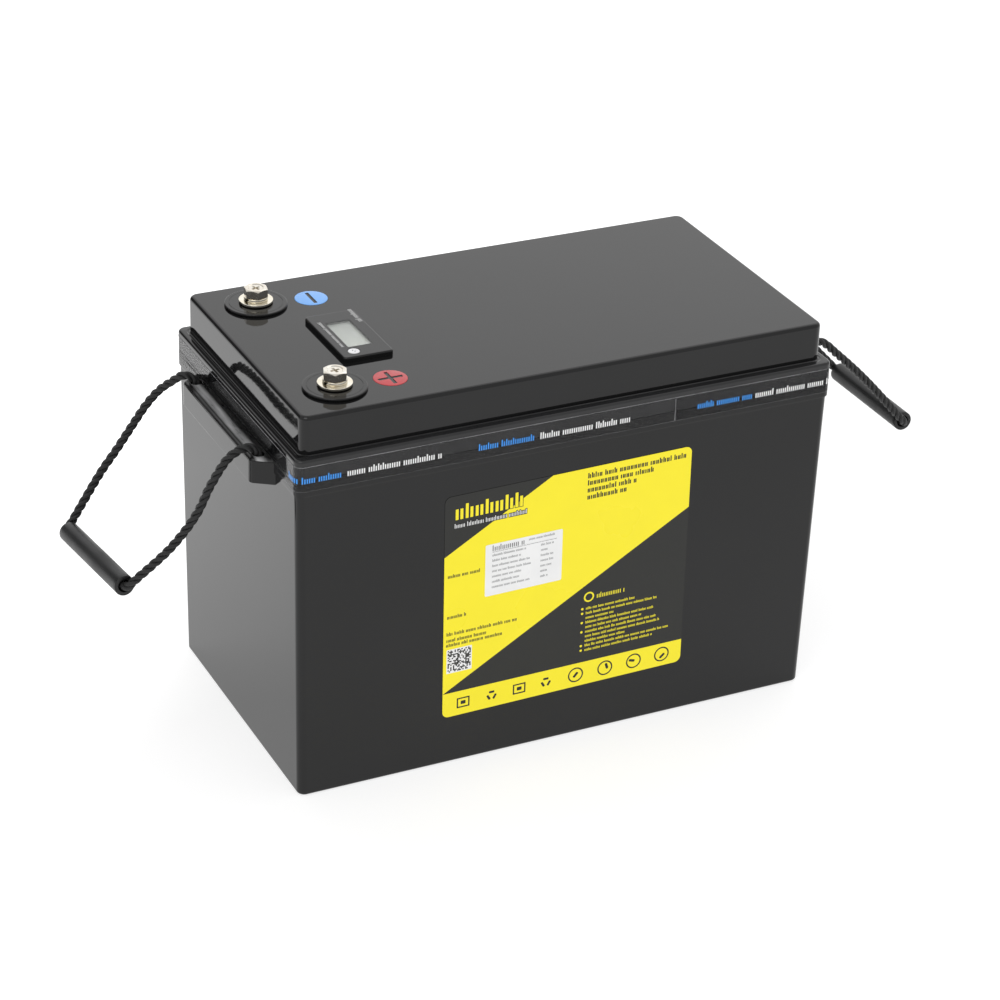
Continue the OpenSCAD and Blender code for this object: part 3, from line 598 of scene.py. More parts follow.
WHITE = ink("print_white", (0.9, 0.9, 0.9), 0.3, 0.94)
SOFT_WHITE = ink("print_soft_white", (0.6, 0.6, 0.6), 0.3, 0.9)
GREY = ink("print_grey", (0.12, 0.12, 0.13), 0.35, 0.8)
FILM_BLUE = ink("film_blue", (0.05, 0.34, 0.95), 0.2, 0.85)
DISC_BLUE = ink("disc_blue", (0.2, 0.48, 1.0), 0.25, 0.92)
DISC_RED = ink("disc_red", (0.57, 0.05, 0.06), 0.25, 0.9)
MARK = satin_plastic("mark_grey", 0.035, 0.4)
FILM = clear_film("clear_film")
# The film's top and bottom edges carry painted highlight lines.
FILM_TOP_HIGHLIGHT = film_edge_highlight("film_top_highlight", 0.3, 0.75)
FILM_CUT_HIGHLIGHT = film_edge_highlight("film_cut_highlight", 0.04, 0.14)
GLASS = window_glass("window_acrylic")
LCD = lcd_panel("lcd_panel")
SEALANT = soft_cable("cured_sealant", (0.55, 0.55, 0.52))
RUBBER = soft_cable("seal_rubber", (0.015, 0.015, 0.015))
FOAM = foam("closed_cell_foam")
BOARD = circuit_board("circuit_board")
FIBRE_SHEET = woven_sheet("glass_fibre_sheet", (0.62, 0.55, 0.2), (0.75, 0.7, 0.35))
BRACKET = woven_sheet("black_fibre_sheet", (0.03, 0.03, 0.03), (0.07, 0.07, 0.07))
EPOXY = satin_plastic("chip_epoxy", 0.02, 0.45)
NYLON = satin_plastic("plug_nylon", 0.7, 0.4)
METER_BOX = satin_plastic("meter_box", 0.03, 0.4)
RED_CABLE = soft_cable("red_cable", (0.5, 0.015, 0.012))
BLACK_CABLE = soft_cable("black_cable", (0.018, 0.018, 0.018))
CELL = cell_film("cell_film")


# ---------------------------------------------------------------- case

def case_sections():
    """Rings of the tub from its outside foot, over the rim and down to its inside floor."""
    rings = []

    def wall_ring(inset, z, radius=CORNER_R):
        lean = 1 - min(z, RIM_Z) / RIM_Z
        rings.append(rounded_ring(CASE_L - 2 * DRAFT_X * lean - 2 * inset,
                                  CASE_W - 2 * DRAFT_Y * lean - 2 * inset,
                                  max(radius - inset, 1.0), z))

    for inset, height in reversed(edge_profile(BASE_EDGE, 0.0)):
        wall_ring(inset, -height)
    wall_ring(0, RIM_Z - 0.6)
    step_x = BODY_L - CASE_L
    step_y = BODY_W - CASE_W
    for share, z in [(0.06, 0.0), (0.7, 0.05), (0.92, 0.25), (1.0, 0.6)]:
        rings.append(rounded_ring(CASE_L + step_x * share, CASE_W + step_y * share, CORNER_R, RIM_Z + z))
    for inset, z in edge_profile(0.35, SEAM_Z, 3):
        rings.append(rounded_ring(BODY_L - 2 * inset, BODY_W - 2 * inset, CORNER_R - inset, z))
    inner_l = CASE_L - 2 * WALL
    inner_w = CASE_W - 2 * WALL
    rings.append(rounded_ring(inner_l, inner_w, 3.0, SEAM_Z))
    rings.append(rounded_ring(inner_l, inner_w, 3.0, RIM_Z))
    rings.append(rounded_ring(inner_l - 2 * DRAFT_X, inner_w - 2 * DRAFT_Y, 3.0, FLOOR_T))
    return rings


def boss_outline(inset, corner, wall_x):
    """Plan of the right-hand boss at an inset: slanted ends and rounded outer corners."""
    run = BOSS_X - CASE_L / 2
    fall = BOSS_HALF - BOSS_HALF_OUT
    slope = math.hypot(run, fall)
    half_out = BOSS_HALF_OUT - inset * (slope - fall) / run
    half_wall = half_out + fall * (BOSS_X - inset - wall_x) / run
    outline = []
    turn = math.degrees(math.atan2(run, fall))
    radius = max(corner - inset, 0.4)
    back = radius * math.tan(math.radians(turn) / 2)
    centre = (BOSS_X - inset - radius, half_out - back)
    outline += [(x, y) for x, y in arc(centre, radius, 0, turn, 8)]
    outline.append((wall_x, half_wall))
    outline += [(x, -y) for x, y in reversed(outline)]
    return outline


def boss_solid():
    """Right-hand boss, with a soft top edge and a thin rounding under its lower edge."""
    wall_x = CASE_L / 2 - 1.5
    rings = []
    for inset, z in reversed(edge_profile(0.45, 0.0, 3)):
        rings.append((inset, BOSS_LOW - z))
    for inset, z in edge_profile(2.2, BOSS_TOP, 6):
        rings.append((inset, z))
    return loft([[(x, y, z) for x, y in boss_outline(inset, BOSS_CORNER, wall_x)] for inset, z in rings])


def boss_hollow():
    """Hollow under the right-hand boss, open downwards."""
    outline = boss_outline(BOSS_SKIN, BOSS_CORNER, CASE_L / 2 + 0.15)
    outline = [(x, y * 0.985) for x, y in outline]
    return prism(outline, BOSS_LOW - 1, BOSS_TOP - BOSS_ROOF)


def make_case():
    piece = Shape().add(loft(case_sections())).build("case_shell", [GLOSS])
    bosses = Shape()
    cuts = Shape()
    half_turn = at(0, 0, 0, 180)
    for place in (None, half_turn):
        bosses.add(boss_solid(), place=place)
        cuts.add(boss_hollow(), place=place)
    holes = Shape()
    for side_x in (-1, 1):
        for side_y in (-1, 1):
            mouth = lathe([(HOLE_R, BOSS_LOW), (HOLE_R, BOSS_TOP - 0.7), (HOLE_R + 0.25, BOSS_TOP - 0.2),
                           (HOLE_R + 0.9, BOSS_TOP + 0.1), (HOLE_R + 0.9, BOSS_TOP + 1)], 40)
            holes.add(mouth, place=at(side_x * HOLE_X, side_y * HOLE_Y))
    combine(piece, bosses, "UNION")
    combine(piece, cuts, "DIFFERENCE")
    combine(piece, holes, "DIFFERENCE")
    tidy_mesh(piece)
    flat_normals(piece)
    settle(piece, "case")


# ---------------------------------------------------------------- lid

def lid_ring(share, z, inset=0.0):
    """Ring between the body's outline, at share 0, and the upper tier's, at share 1."""
    length = BODY_L + (TIER_L - BODY_L) * share - 2 * inset
    width = BODY_W + (TIER_W - BODY_W) * share - 2 * inset
    radius = CORNER_R + (TIER_CORNER_R - CORNER_R) * share - inset
    return rounded_ring(length, width, max(radius, 0.8), z)


def lid_sections():
    """Rings of the lid from its inside ceiling, down, round the rim and up over the top."""
    hollow_l = TIER_L - 2 * LID_T
    hollow_w = TIER_W - 2 * LID_T
    seat = SEAM_Z + LIP_GAP
    rings = [rounded_ring(hollow_l, hollow_w, 2.5, LID_TOP - LID_T)]
    rings.append(rounded_ring(hollow_l, hollow_w, 2.5, LID_LOW.z))
    rings.append(rounded_ring(CASE_L - 2 * WALL - 0.6, CASE_W - 2 * WALL - 0.6, 2.7, LID_LOW.z))
    rings.append(rounded_ring(CASE_L - 2 * WALL - 0.6, CASE_W - 2 * WALL - 0.6, 2.7, seat))
    for inset, z in reversed(edge_profile(0.35, 0.0, 3)):
        rings.append(lid_ring(0, seat - z, inset))
    for inset, z in edge_profile(LEDGE_EDGE, LEDGE_Z):
        rings.append(lid_ring(0, z, inset))
    bead = [(0.6, 0.0), (0.66, 0.1), (0.72, 0.0), (0.8, -0.18), (0.88, -0.18), (0.94, 0.0), (0.98, 0.15),
            (1.0, 0.45)]
    for share, rise in bead:
        rings.append(lid_ring(share, LEDGE_Z + rise))
    for inset, z in edge_profile(TIER_EDGE, LID_TOP, 7):
        rings.append(lid_ring(1, z, inset))
    return rings


def make_lid():
    piece = Shape().add(loft(lid_sections())).build("lid_shell", [LID_GLOSS])
    holes = Shape()
    for name in ("neg", "pos"):
        post = centre_of("terminal_post_" + name)
        disc = centre_of("polarity_" + name)
        holes.add(lathe([(11.02, LID_TOP - LID_T - 1), (11.02, LID_TOP + 1)]), place=at(post.x, post.y))
        disc_low, disc_high = box_mm("polarity_" + name)
        radius = (disc_high.x - disc_low.x) / 2 + 0.1
        recess = [(radius, LID_TOP - 0.4), (radius, LID_TOP - 0.1), (radius + 0.15, LID_TOP + 0.1),
                  (radius + 0.15, LID_TOP + 1)]
        holes.add(lathe(recess), place=at(disc.x, disc.y))
    meter = centre_of("meter_body")
    low, high = box_mm("meter_body")
    opening = flat_ring(high.x - low.x + 0.2, high.y - low.y + 0.2, 1.5)
    holes.add(prism(opening, LID_TOP - LID_T - 1, LID_TOP + 1), place=at(meter.x, meter.y))
    combine(piece, holes, "DIFFERENCE")
    tidy_mesh(piece)
    flat_normals(piece)
    settle(piece, "lid")


# ---------------------------------------------------------------- sealing film

FILM_T = 0.14
FILM_GAP = 0.03
FILM_LINE = 0.35
FILM_RAISE = 0.6
FILM_TRIM = 2.0
FILM_PITCH = 120.0
BLUE_WIDTH = 37.0
WHITE_WIDTH = 60.0
GLYPH_LOW = 208.3
GLYPH_H = 4.3
LAP_X = 61.0
BOSS_CLEAR = BOSS_HALF + 1


def film_path(gap, steps=CORNER_STEPS):
    """Closed outline of the rim at a gap outside it, with extra points on the straight walls."""
    corners = flat_ring(BODY_L + 2 * gap, BODY_W + 2 * gap, CORNER_R + gap, steps)
    path = []
    for i, start in enumerate(corners):
        end = corners[(i + 1) % len(corners)]
        pieces = max(1, round(math.dist(start, end) / 6))
        for j in range(pieces):
            share = j / pieces
            path.append((start[0] + (end[0] - start[0]) * share, start[1] + (end[1] - start[1]) * share))
    return path


def strip(inner, outer, low, high):
    """Closed thin strip along two open paths, with a low and high edge per point."""
    verts = []
    for i in range(len(inner)):
        verts += [(*inner[i], low[i]), (*outer[i], low[i]), (*outer[i], high[i]), (*inner[i], high[i])]
    faces = []
    for i in range(len(inner) - 1):
        a = 4 * i
        for j in range(4):
            k = (j + 1) % 4
            faces.append([a + j, a + k, a + 4 + k, a + 4 + j])
    last = 4 * (len(inner) - 1)
    faces.append([3, 2, 1, 0])
    faces.append([last, last + 1, last + 2, last + 3])
    return verts, faces


def band(inner, outer, low, high):
    """Closed thin band along two closed paths, between two heights."""
    return loft([[(x, y, low) for x, y in inner], [(x, y, high) for x, y in inner],
                 [(x, y, high) for x, y in outer], [(x, y, low) for x, y in outer]], closed=True)


def runs(free):
    """Index lists of the unbroken stretches of a closed path where free is true."""
    first = next(i for i in range(len(free)) if free[i] and not free[i - 1])
    found = [[]]
    for k in range(len(free)):
        i = (first + k) % len(free)
        if free[i]:
            found[-1].append(i)
        elif found[-1]:
            found.append([])
    return [run for run in found if run]


def make_film():
    """The film round the seam: a full upper band, a lower band cut at the bosses, and a lapped end."""
    inner = film_path(FILM_GAP)
    outer = film_path(FILM_GAP + FILM_T)
    split = BOSS_TOP + 0.4
    high = TAPE_HIGH.z + FILM_RAISE
    film_low = TAPE_LOW.z + FILM_TRIM
    top_line = high - FILM_LINE
    clear, top_highlight, cut_highlight = range(3)
    shape = Shape()
    shape.add(band(inner, outer, split, top_line), clear)
    shape.add(band(inner, outer, top_line, high), top_highlight)

    def lower(path_in, path_out, run, low, top, slot):
        count = len(run)
        near = [path_in[j] for j in run]
        far = [path_out[j] for j in run]
        shape.add(strip(near, far, [low] * count, [top] * count), slot)

    low_line = film_low + FILM_LINE
    for run in runs([abs(y) > BOSS_CLEAR or abs(x) < BODY_L / 2 - 1 for x, y in inner]):
        lower(inner, outer, run, low_line, split, clear)
        lower(inner, outer, run, film_low, low_line, cut_highlight)
    lap_in = film_path(FILM_GAP + FILM_T + 0.01)
    lap_out = film_path(FILM_GAP + 1.6 * FILM_T + 0.01)
    lap = [i for i, (x, y) in enumerate(lap_in) if y < 1 - BODY_W / 2 and x > LAP_X]
    lower(lap_in, lap_out, lap, film_low + 0.6, high - 0.9, clear)
    start = min(lap_in[i][0] for i in lap)
    seam_y = -(BODY_W / 2 + FILM_GAP + 1.6 * FILM_T + 0.01)
    end = start + 0.5
    cut = [(start, seam_y), (end, seam_y), (end, seam_y - 0.01), (start, seam_y - 0.01)]
    shape.add(prism(cut, film_low + 0.6, high - 0.9), top_highlight)
    piece = shape.build("sealing_film", [FILM, FILM_TOP_HIGHLIGHT, FILM_CUT_HIGHLIGHT])
    settle(piece, "seal_tape")


def rim_point(distance, gap):
    """Point and heading on the rim's outline, at a distance round it from the middle of the front."""
    side_x = BODY_L - 2 * CORNER_R
    side_y = BODY_W - 2 * CORNER_R
    bend = math.pi / 2 * CORNER_R
    around = 2 * (side_x + side_y) + 4 * bend
    s = (distance + side_x / 2) % around
    heading = 0.0
    corner = Vector((-side_x / 2, -side_y / 2))
    for length in (side_x, side_y, side_x, side_y):
        along = Vector((math.cos(heading), math.sin(heading)))
        out = Vector((along.y, -along.x))
        if s <= length:
            return corner + along * s + out * (CORNER_R + gap), heading
        s -= length
        corner = corner + along * length
        if s <= bend:
            angle = heading + s / CORNER_R
            out = Vector((math.sin(angle), -math.cos(angle)))
            return corner + out * (CORNER_R + gap), angle
        s -= bend
        heading += math.pi / 2
    return corner, heading


def glyph_line(width, height, rng, word=(3, 7), stroke=0.15):
    """Upright strokes in word-like groups that fill a width: (position, stroke width, stroke height)."""
    strokes = []
    cursor = 0.0
    thick = height * stroke
    while cursor < width:
        for _ in range(rng.randint(*word)):
            pair = rng.random() < 0.8
            cell = height * 0.5 if pair else thick
            if cursor + cell > width:
                return strokes
            strokes.append((cursor, thick, height * rng.choice((0.72, 0.72, 0.72, 1.0))))
            if pair:
                strokes.append((cursor + cell - thick, thick, height * 0.72))
            cursor += cell + height * 0.16
        cursor += height * 0.35
    return strokes


def make_film_print():
    """Word-like strokes in blue and white, printed on the film in repeats round the battery."""
    rng = random.Random(7)
    shape = Shape()
    gap = FILM_GAP + 1.6 * FILM_T + 0.03
    starts = [-181.0, -61.0] + [81.0 + FILM_PITCH * k for k in range(5)]
    for start in starts:
        for offset, width, slot in ((0.0, BLUE_WIDTH, 0), (BLUE_WIDTH + 2.0, WHITE_WIDTH, 1)):
            for cursor, bar, height in glyph_line(width, GLYPH_H, rng, (3, 8), 0.18):
                middle, heading = rim_point(start + offset + cursor + bar / 2, gap)
                beside_boss = abs(middle.x) > BODY_L / 2 - 1 and abs(middle.y) < BOSS_CLEAR + 2
                if beside_boss:
                    continue
                outline = flat_ring(bar, height, min(0.2, bar / 3), 2)
                place = (Matrix.Translation((middle.x, middle.y, GLYPH_LOW + height / 2))
                         @ Matrix.Rotation(heading, 4, "Z") @ Matrix.Rotation(math.pi / 2, 4, "X"))
                shape.add(prism(outline, 0, 0.02), slot, place)
    piece = shape.build("film_print", [FILM_BLUE, WHITE])
    settle(piece)


# ---------------------------------------------------------------- front label

LABEL_W = 160.5
LABEL_H = 149.0
LABEL_X = 0.6
LABEL_Z = 108.1
LABEL_TURN = 0.9
LABEL_T = 0.2
PRINT_T = 0.02
# Width of each row in the lower right block, and whether a dot stands before it.
CARE_ROWS = ((33, True), (49, True), (19, False), (46, True), (38, False), (49, True), (51, False),
             (28, False), (58, True), (46, True))


def label_place():
    """Matrix from the label's own plane, u across, v up and w outwards, to the front wall."""
    lean = math.atan2(DRAFT_Y, RIM_Z)
    y = -(CASE_W / 2 - DRAFT_Y * (1 - LABEL_Z / RIM_Z))
    stand = Matrix.Rotation(math.pi / 2 + lean, 4, "X")
    turn = Matrix.Rotation(math.radians(LABEL_TURN), 4, "Z")
    return Matrix.Translation((LABEL_X, y - 0.03, LABEL_Z)) @ stand @ turn


def clip(polygon, limit_w, limit_h, radius):
    """The part of a convex polygon inside the label's rounded outline."""
    window = flat_ring(limit_w, limit_h, radius, 6)
    result = list(polygon)
    for i, a in enumerate(window):
        b = window[(i + 1) % len(window)]
        kept = []
        for j, p in enumerate(result):
            q = result[(j + 1) % len(result)]
            side_p = (b[0] - a[0]) * (p[1] - a[1]) - (b[1] - a[1]) * (p[0] - a[0])
            side_q = (b[0] - a[0]) * (q[1] - a[1]) - (b[1] - a[1]) * (q[0] - a[0])
            if side_p >= 0:
                kept.append(p)
            if side_p * side_q < 0:
                share = side_p / (side_p - side_q)
                kept.append((p[0] + (q[0] - p[0]) * share, p[1] + (q[1] - p[1]) * share))
        result = kept
    return result


def bars_on(shape, slot, place, line, rng, level, grow=0.0, **style):
    """Adds one word-like line: line is (u of its left end, v of its middle, width, height)."""
    left, middle, width, height = line
    for cursor, bar, tall in glyph_line(width, height, rng, **style):
        outline = flat_ring(bar + 2 * grow, tall + 2 * grow, min(0.2, bar / 3), 2)
        spot = place @ Matrix.Translation((left + cursor + bar / 2, middle + (tall - height) / 2, level))
        shape.add(prism(outline, 0, PRINT_T), slot, spot)


def outlined_line(shape, slots, place, line, level, seed, **style):
    """A word-like line in one ink with a dark outline under it."""
    ink_slot, outline_slot = slots
    bars_on(shape, outline_slot, place, line, random.Random(seed), level, grow=0.4, **style)
    bars_on(shape, ink_slot, place, line, random.Random(seed), level + PRINT_T, **style)


def hoop(radius, width, steps=40):
    """Flat ring, as a closed thin solid."""
    inner = radius - width
    profile = [(inner, 0), (radius, 0), (radius, PRINT_T), (inner, PRINT_T)]
    return lathe(profile, steps, closed=True)


def frame_bars(width, height, line):
    """Four bars that frame a rectangle: (u, v, width, height)."""
    across = (width - line) / 2
    up = (height - line) / 2
    side = height - 2 * line
    return [(0, up, width, line), (0, -up, width, line), (across, 0, line, side), (-across, 0, line, side)]


def pictograms(shape, slot, place, level):
    """Row of plain round and square signs along the label's foot."""
    spots = (-66.7, -48.0, -29.7, -11.9, 8.1, 28.0, 47.6, 66.9)
    for number, u in enumerate(spots):
        spot = place @ Matrix.Translation((u, -66.3, level))
        if number in (0, 2):
            for x, y, w, h in frame_bars(8.4, 7.0, 0.9):
                bar = spot @ Matrix.Translation((x, y, 0))
                shape.add(prism(flat_ring(w, h, 0.05, 1), 0, PRINT_T), slot, bar)
            shape.add(prism(flat_ring(3.2, 2.4, 0.4, 2), 0, PRINT_T), slot, spot)
        elif number in (1, 3):
            for k in range(3):
                leaf = spot @ Matrix.Rotation(TURN * k / 3, 4, "Z") @ Matrix.Translation((0, 2.3, 0))
                shape.add(prism(flat_ring(3.6, 1.5, 0.5, 2), 0, PRINT_T), slot, leaf)
        else:
            shape.add(hoop(5.1, 0.9), slot, spot)
            inner = [(0.0, 0.0), (1.1, 1.1), (-1.2, 0.6), (0.4, -1.2)][number % 4]
            mark = spot @ Matrix.Translation((inner[0], inner[1], 0)) @ Matrix.Rotation(number, 4, "Z")
            shape.add(prism(flat_ring(4.2, 1.7, 0.6, 2), 0, PRINT_T), slot, mark)


CODE_SPOT = (-69.8, -35.9)
CODE_SIZE = 15.0


def code_block(shape, slot, place, level, rng):
    """Square of dark cells on white, filled at random, that stands for a printed code."""
    count = 17
    cell = CODE_SIZE / count
    for row in range(count):
        for column in range(count):
            if rng.random() < 0.52:
                u = CODE_SPOT[0] + (column - (count - 1) / 2) * cell
                v = CODE_SPOT[1] + (row - (count - 1) / 2) * cell
                spot = place @ Matrix.Translation((u, v, level))
                shape.add(prism(flat_ring(cell * 0.96, cell * 0.96, 0.02, 1), 0, PRINT_T), slot, spot)


# Slots of the label's inks, in the order of its materials.
GROUND, YELLOW_INK, WHITE_INK, DARK_INK = range(4)
# Lines of the label in its own plane: (u of the left end, v of the middle, width).
TOP_LINES = ((11.5, 69.3, 65), (11.5, 64.6, 44), (11.5, 59.9, 33.5), (11.5, 55.2, 26))
LEFT_LINES = ((-77.9, 22.0, 22), (-78.0, -5.5, 13.5), (-78.2, -17.0, 47), (-78.2, -21.3, 27.5),
              (-78.4, -24.5, 37))
CARE_TOP = -21.0
CARE_PITCH = 3.22


def label_ground(shape, place):
    """The label's dark sheet, with a broad yellow diagonal band and a yellow foot."""
    shape.add(prism(flat_ring(LABEL_W, LABEL_H, 4), 0, LABEL_T), GROUND, place)
    top, right = LABEL_H / 2, LABEL_W / 2
    band = [(-right, -57.9), (right, 33.6), (right, top), (-11.2, top), (-right, 35.0)]
    foot = [(-right, -top), (right, -top), (right, -58.7), (-right, -57.9)]
    for polygon in (band, foot):
        outline = clip(polygon, LABEL_W - 0.04, LABEL_H - 0.04, 4)
        shape.add(prism(outline, LABEL_T, LABEL_T + PRINT_T), YELLOW_INK, place)


def label_lines(shape, place, level, rng):
    """Dark word-like lines on the yellow, and the headline with the line under it."""
    for u, v, width in TOP_LINES:
        bars_on(shape, DARK_INK, place, (u, v, width, 3.6), rng, level, word=(4, 9), stroke=0.22)
    for u, v, width in LEFT_LINES:
        bars_on(shape, DARK_INK, place, (u, v, width, 2.5), rng, level, stroke=0.2)
    headline = (-73.5, 63.5, 48, 9.6)
    outlined_line(shape, (YELLOW_INK, DARK_INK), place, headline, level, 3, word=(9, 9), stroke=0.19)
    outlined_line(shape, (WHITE_INK, DARK_INK), place, (-74.0, 54.8, 49, 3.0), level, 8)


def care_block(shape, place, rng):
    """Yellow ring, heading and rows on the dark corner of the label."""
    shape.add(hoop(3.4, 1.0), YELLOW_INK, place @ Matrix.Translation((15.2, -13.4, LABEL_T)))
    bars_on(shape, YELLOW_INK, place, (20.5, -13.6, 19.5, 3.6), rng, LABEL_T)
    for row, (width, dotted) in enumerate(CARE_ROWS):
        v = CARE_TOP - CARE_PITCH * row
        if dotted:
            dot = place @ Matrix.Translation((11.0, v, LABEL_T))
            shape.add(prism(disc_outline(0.8, 16), 0, PRINT_T), YELLOW_INK, dot)
        bars_on(shape, YELLOW_INK, place, (13.5, v, width, 1.9), rng, LABEL_T, stroke=0.18)


def make_label():
    """Vinyl label with its bands, word-like bars, signs and code block."""
    rng = random.Random(21)
    place = label_place()
    shape = Shape()
    label_ground(shape, place)
    level = LABEL_T + PRINT_T
    label_lines(shape, place, level, rng)
    care_block(shape, place, rng)
    pictograms(shape, DARK_INK, place, level)
    square = place @ Matrix.Translation((*CODE_SPOT, level))
    shape.add(prism(flat_ring(16.4, 16.4, 0.3, 2), 0, PRINT_T), WHITE_INK, square)
    code_block(shape, DARK_INK, place, level + PRINT_T, rng)
    piece = shape.build("label_print", [DARK, YELLOW, WHITE, DARK])
    settle(piece, "front_label")


def make_sticker():
    """White sticker with a bold line and two columns of word-like rows."""
    rng = random.Random(4)
    place = label_place() @ Matrix.Translation((-29.0, 20.3, LABEL_T + 2 * PRINT_T))
    shape = Shape()
    shape.add(prism(flat_ring(50, 34.5, 1), 0, 0.12), 0, place)
    bars_on(shape, 1, place, (-20.5, 14.4, 21, 3.8), rng, 0.12, word=(8, 8))
    bars_on(shape, 1, place, (3.0, 15.2, 18, 1.6), rng, 0.12)
    bars_on(shape, 1, place, (-20.5, 11.9, 42, 0.7), rng, 0.12)
    for row in range(7):
        v = 9.8 - 3.55 * row
        bars_on(shape, 1, place, (-20.5, v, rng.choice((19, 22, 25)), 1.7), rng, 0.12)
        bars_on(shape, 1, place, (11.0, v, rng.choice((5, 7, 9)), 1.7), rng, 0.12)
    piece = shape.build("sticker_sheet", [WHITE, GREY])
    settle(piece, "spec_sticker")


# ---------------------------------------------------------------- terminals

DISC_R = 18.75
DISC_TOP = LID_TOP + 1.8
POST_R = 8.0
HEAD_AF = 13.0
HEAD_H = 5.5
SHANK_R = 3.92
THREAD_DEPTH = 0.62
PITCH = 1.25
WASHER_R = 10.2


def ring_profile(inner, outer, low, high, edge):
    """Closed profile of a flat ring with small rounded edges."""
    profile = []
    for centre_r, centre_z, start in ((inner + edge, low + edge, 180), (outer - edge, low + edge, 270),
                                      (outer - edge, high - edge, 0), (inner + edge, high - edge, 90)):
        profile += arc((centre_r, centre_z), edge, start, start + 90, 3)
    return profile


def make_terminal_disc(name):
    """Glossy insulating disc with a rounded rim, a fine groove and a spigot through the lid."""
    post = centre_of("terminal_post_" + name)
    bore = POST_R + 0.02
    low = LID_TOP + 0.02
    profile = [(bore, LID_TOP - LID_T), (11.0, LID_TOP - LID_T), (11.0, low), (DISC_R - 0.3, low)]
    profile += [(DISC_R, low + 0.3)]
    profile += arc((DISC_R - 0.7, DISC_TOP - 0.7), 0.7, 0, 90, 5)
    profile += [(DISC_R - 2.6, DISC_TOP), (DISC_R - 2.75, DISC_TOP - 0.12), (DISC_R - 2.9, DISC_TOP)]
    profile += [(bore + 0.4, DISC_TOP), (bore, DISC_TOP - 0.3)]
    piece = Shape().add(lathe(profile, 96, closed=True), place=at(post.x, post.y)).build(
        "disc_" + name, [DISC_GLOSS])
    flat_normals(piece)
    settle(piece, "terminal_disc_" + name)


def make_washer(name):
    node = "washer_" + name
    low, high = box_mm(node)
    centre = (low + high) / 2
    ring = lathe(ring_profile(4.4, WASHER_R, low.z, high.z, 0.28), 72, closed=True)
    piece = Shape().add(ring, place=at(centre.x, centre.y)).build("flat_washer_" + name, [WASHER_PLATE])
    flat_normals(piece)
    settle(piece, node, "washers_" + name)


def make_spring_washer(name):
    """Split washer: a rounded section swept round, cut on a slant."""
    node = "spring_washer_" + name
    low, high = box_mm(node)
    section = ring_profile(4.3, 7.2, low.z, high.z, 0.35)
    middle_z = (low.z + high.z) / 2
    rings = []
    steps = 64
    gap = math.radians(9)
    start = math.radians(200)
    for i in range(steps + 1):
        ring = []
        for radius, z in section:
            slant = (z - middle_z) * 0.08
            angle = start + gap + (TURN - 2 * gap) * i / steps + slant
            ring.append((radius * math.cos(angle), radius * math.sin(angle), z))
        rings.append(ring)
    post = centre_of("terminal_post_" + name)
    piece = Shape().add(loft(rings), place=at(post.x, post.y)).build("lock_washer_" + name, [WASHER_PLATE])
    settle(piece, node, "washers_" + name)


def hex_radius(angle, apothem):
    """Distance from a hexagon's centre to its edge, with slightly rounded corners."""
    part = (angle % (TURN / 6)) - TURN / 12
    return min(apothem / math.cos(part), apothem * 1.145)


SHANK_L = 16.0
BOLT_STEPS = 72


def thread_rings():
    """Rings of the shank, eight to each turn of the thread, from the tip up."""
    per_turn = 8
    rings = []
    for i in range(1, int(SHANK_L / PITCH * per_turn)):
        z = -SHANK_L + i * PITCH / per_turn
        fade = min(1.0, (z + SHANK_L) / 1.5)
        points = []
        for j in range(BOLT_STEPS):
            phase = (z / PITCH - j / BOLT_STEPS) % 1.0
            height = 1 - abs(2 * phase - 1)
            radius = SHANK_R - THREAD_DEPTH + THREAD_DEPTH * min(1.0, height * 1.25) * fade
            angle = TURN * j / BOLT_STEPS
            points.append((radius * math.cos(angle), radius * math.sin(angle), z))
        rings.append(points)
    return rings


def hexagon_ring(inset, height_at):
    """Ring round the head at an inset; height_at gives the height at a distance from the axis."""
    ring = []
    for j in range(BOLT_STEPS):
        angle = TURN * j / BOLT_STEPS
        radius = hex_radius(angle, HEAD_AF / 2) - inset
        ring.append((radius * math.cos(angle), radius * math.sin(angle), height_at(radius)))
    return ring


def bolt_rings():
    """Rings of a bolt from its tip, up the threads and over the dished hexagon head."""
    crown = HEAD_AF / 2 - 0.35
    slope = math.tan(math.radians(30))
    tip = [(0.4, -SHANK_L), (SHANK_R - THREAD_DEPTH - 0.5, -SHANK_L)]
    neck = [(SHANK_R - 0.1, -0.05), (6.1, 0.0)]
    dish = [(crown, HEAD_H - 0.08), (crown - 0.3, HEAD_H), (crown - 1.1, HEAD_H), (crown - 1.5, HEAD_H - 0.2),
            (crown - 2.0, HEAD_H - 0.55), (1.6, HEAD_H - 0.65), (0.4, HEAD_H - 0.65)]
    rings = [disc_ring(radius, z, BOLT_STEPS) for radius, z in tip]
    rings += thread_rings()
    rings += [disc_ring(radius, z, BOLT_STEPS) for radius, z in neck]
    rings.append(hexagon_ring(0.25, lambda radius: 0.0))
    rings.append(hexagon_ring(0.0, lambda radius: 0.25))
    rings.append(hexagon_ring(0.0, lambda radius: HEAD_H - 0.1 - (radius - crown) * slope))
    rings += [disc_ring(radius, z, BOLT_STEPS) for radius, z in dish]
    return rings


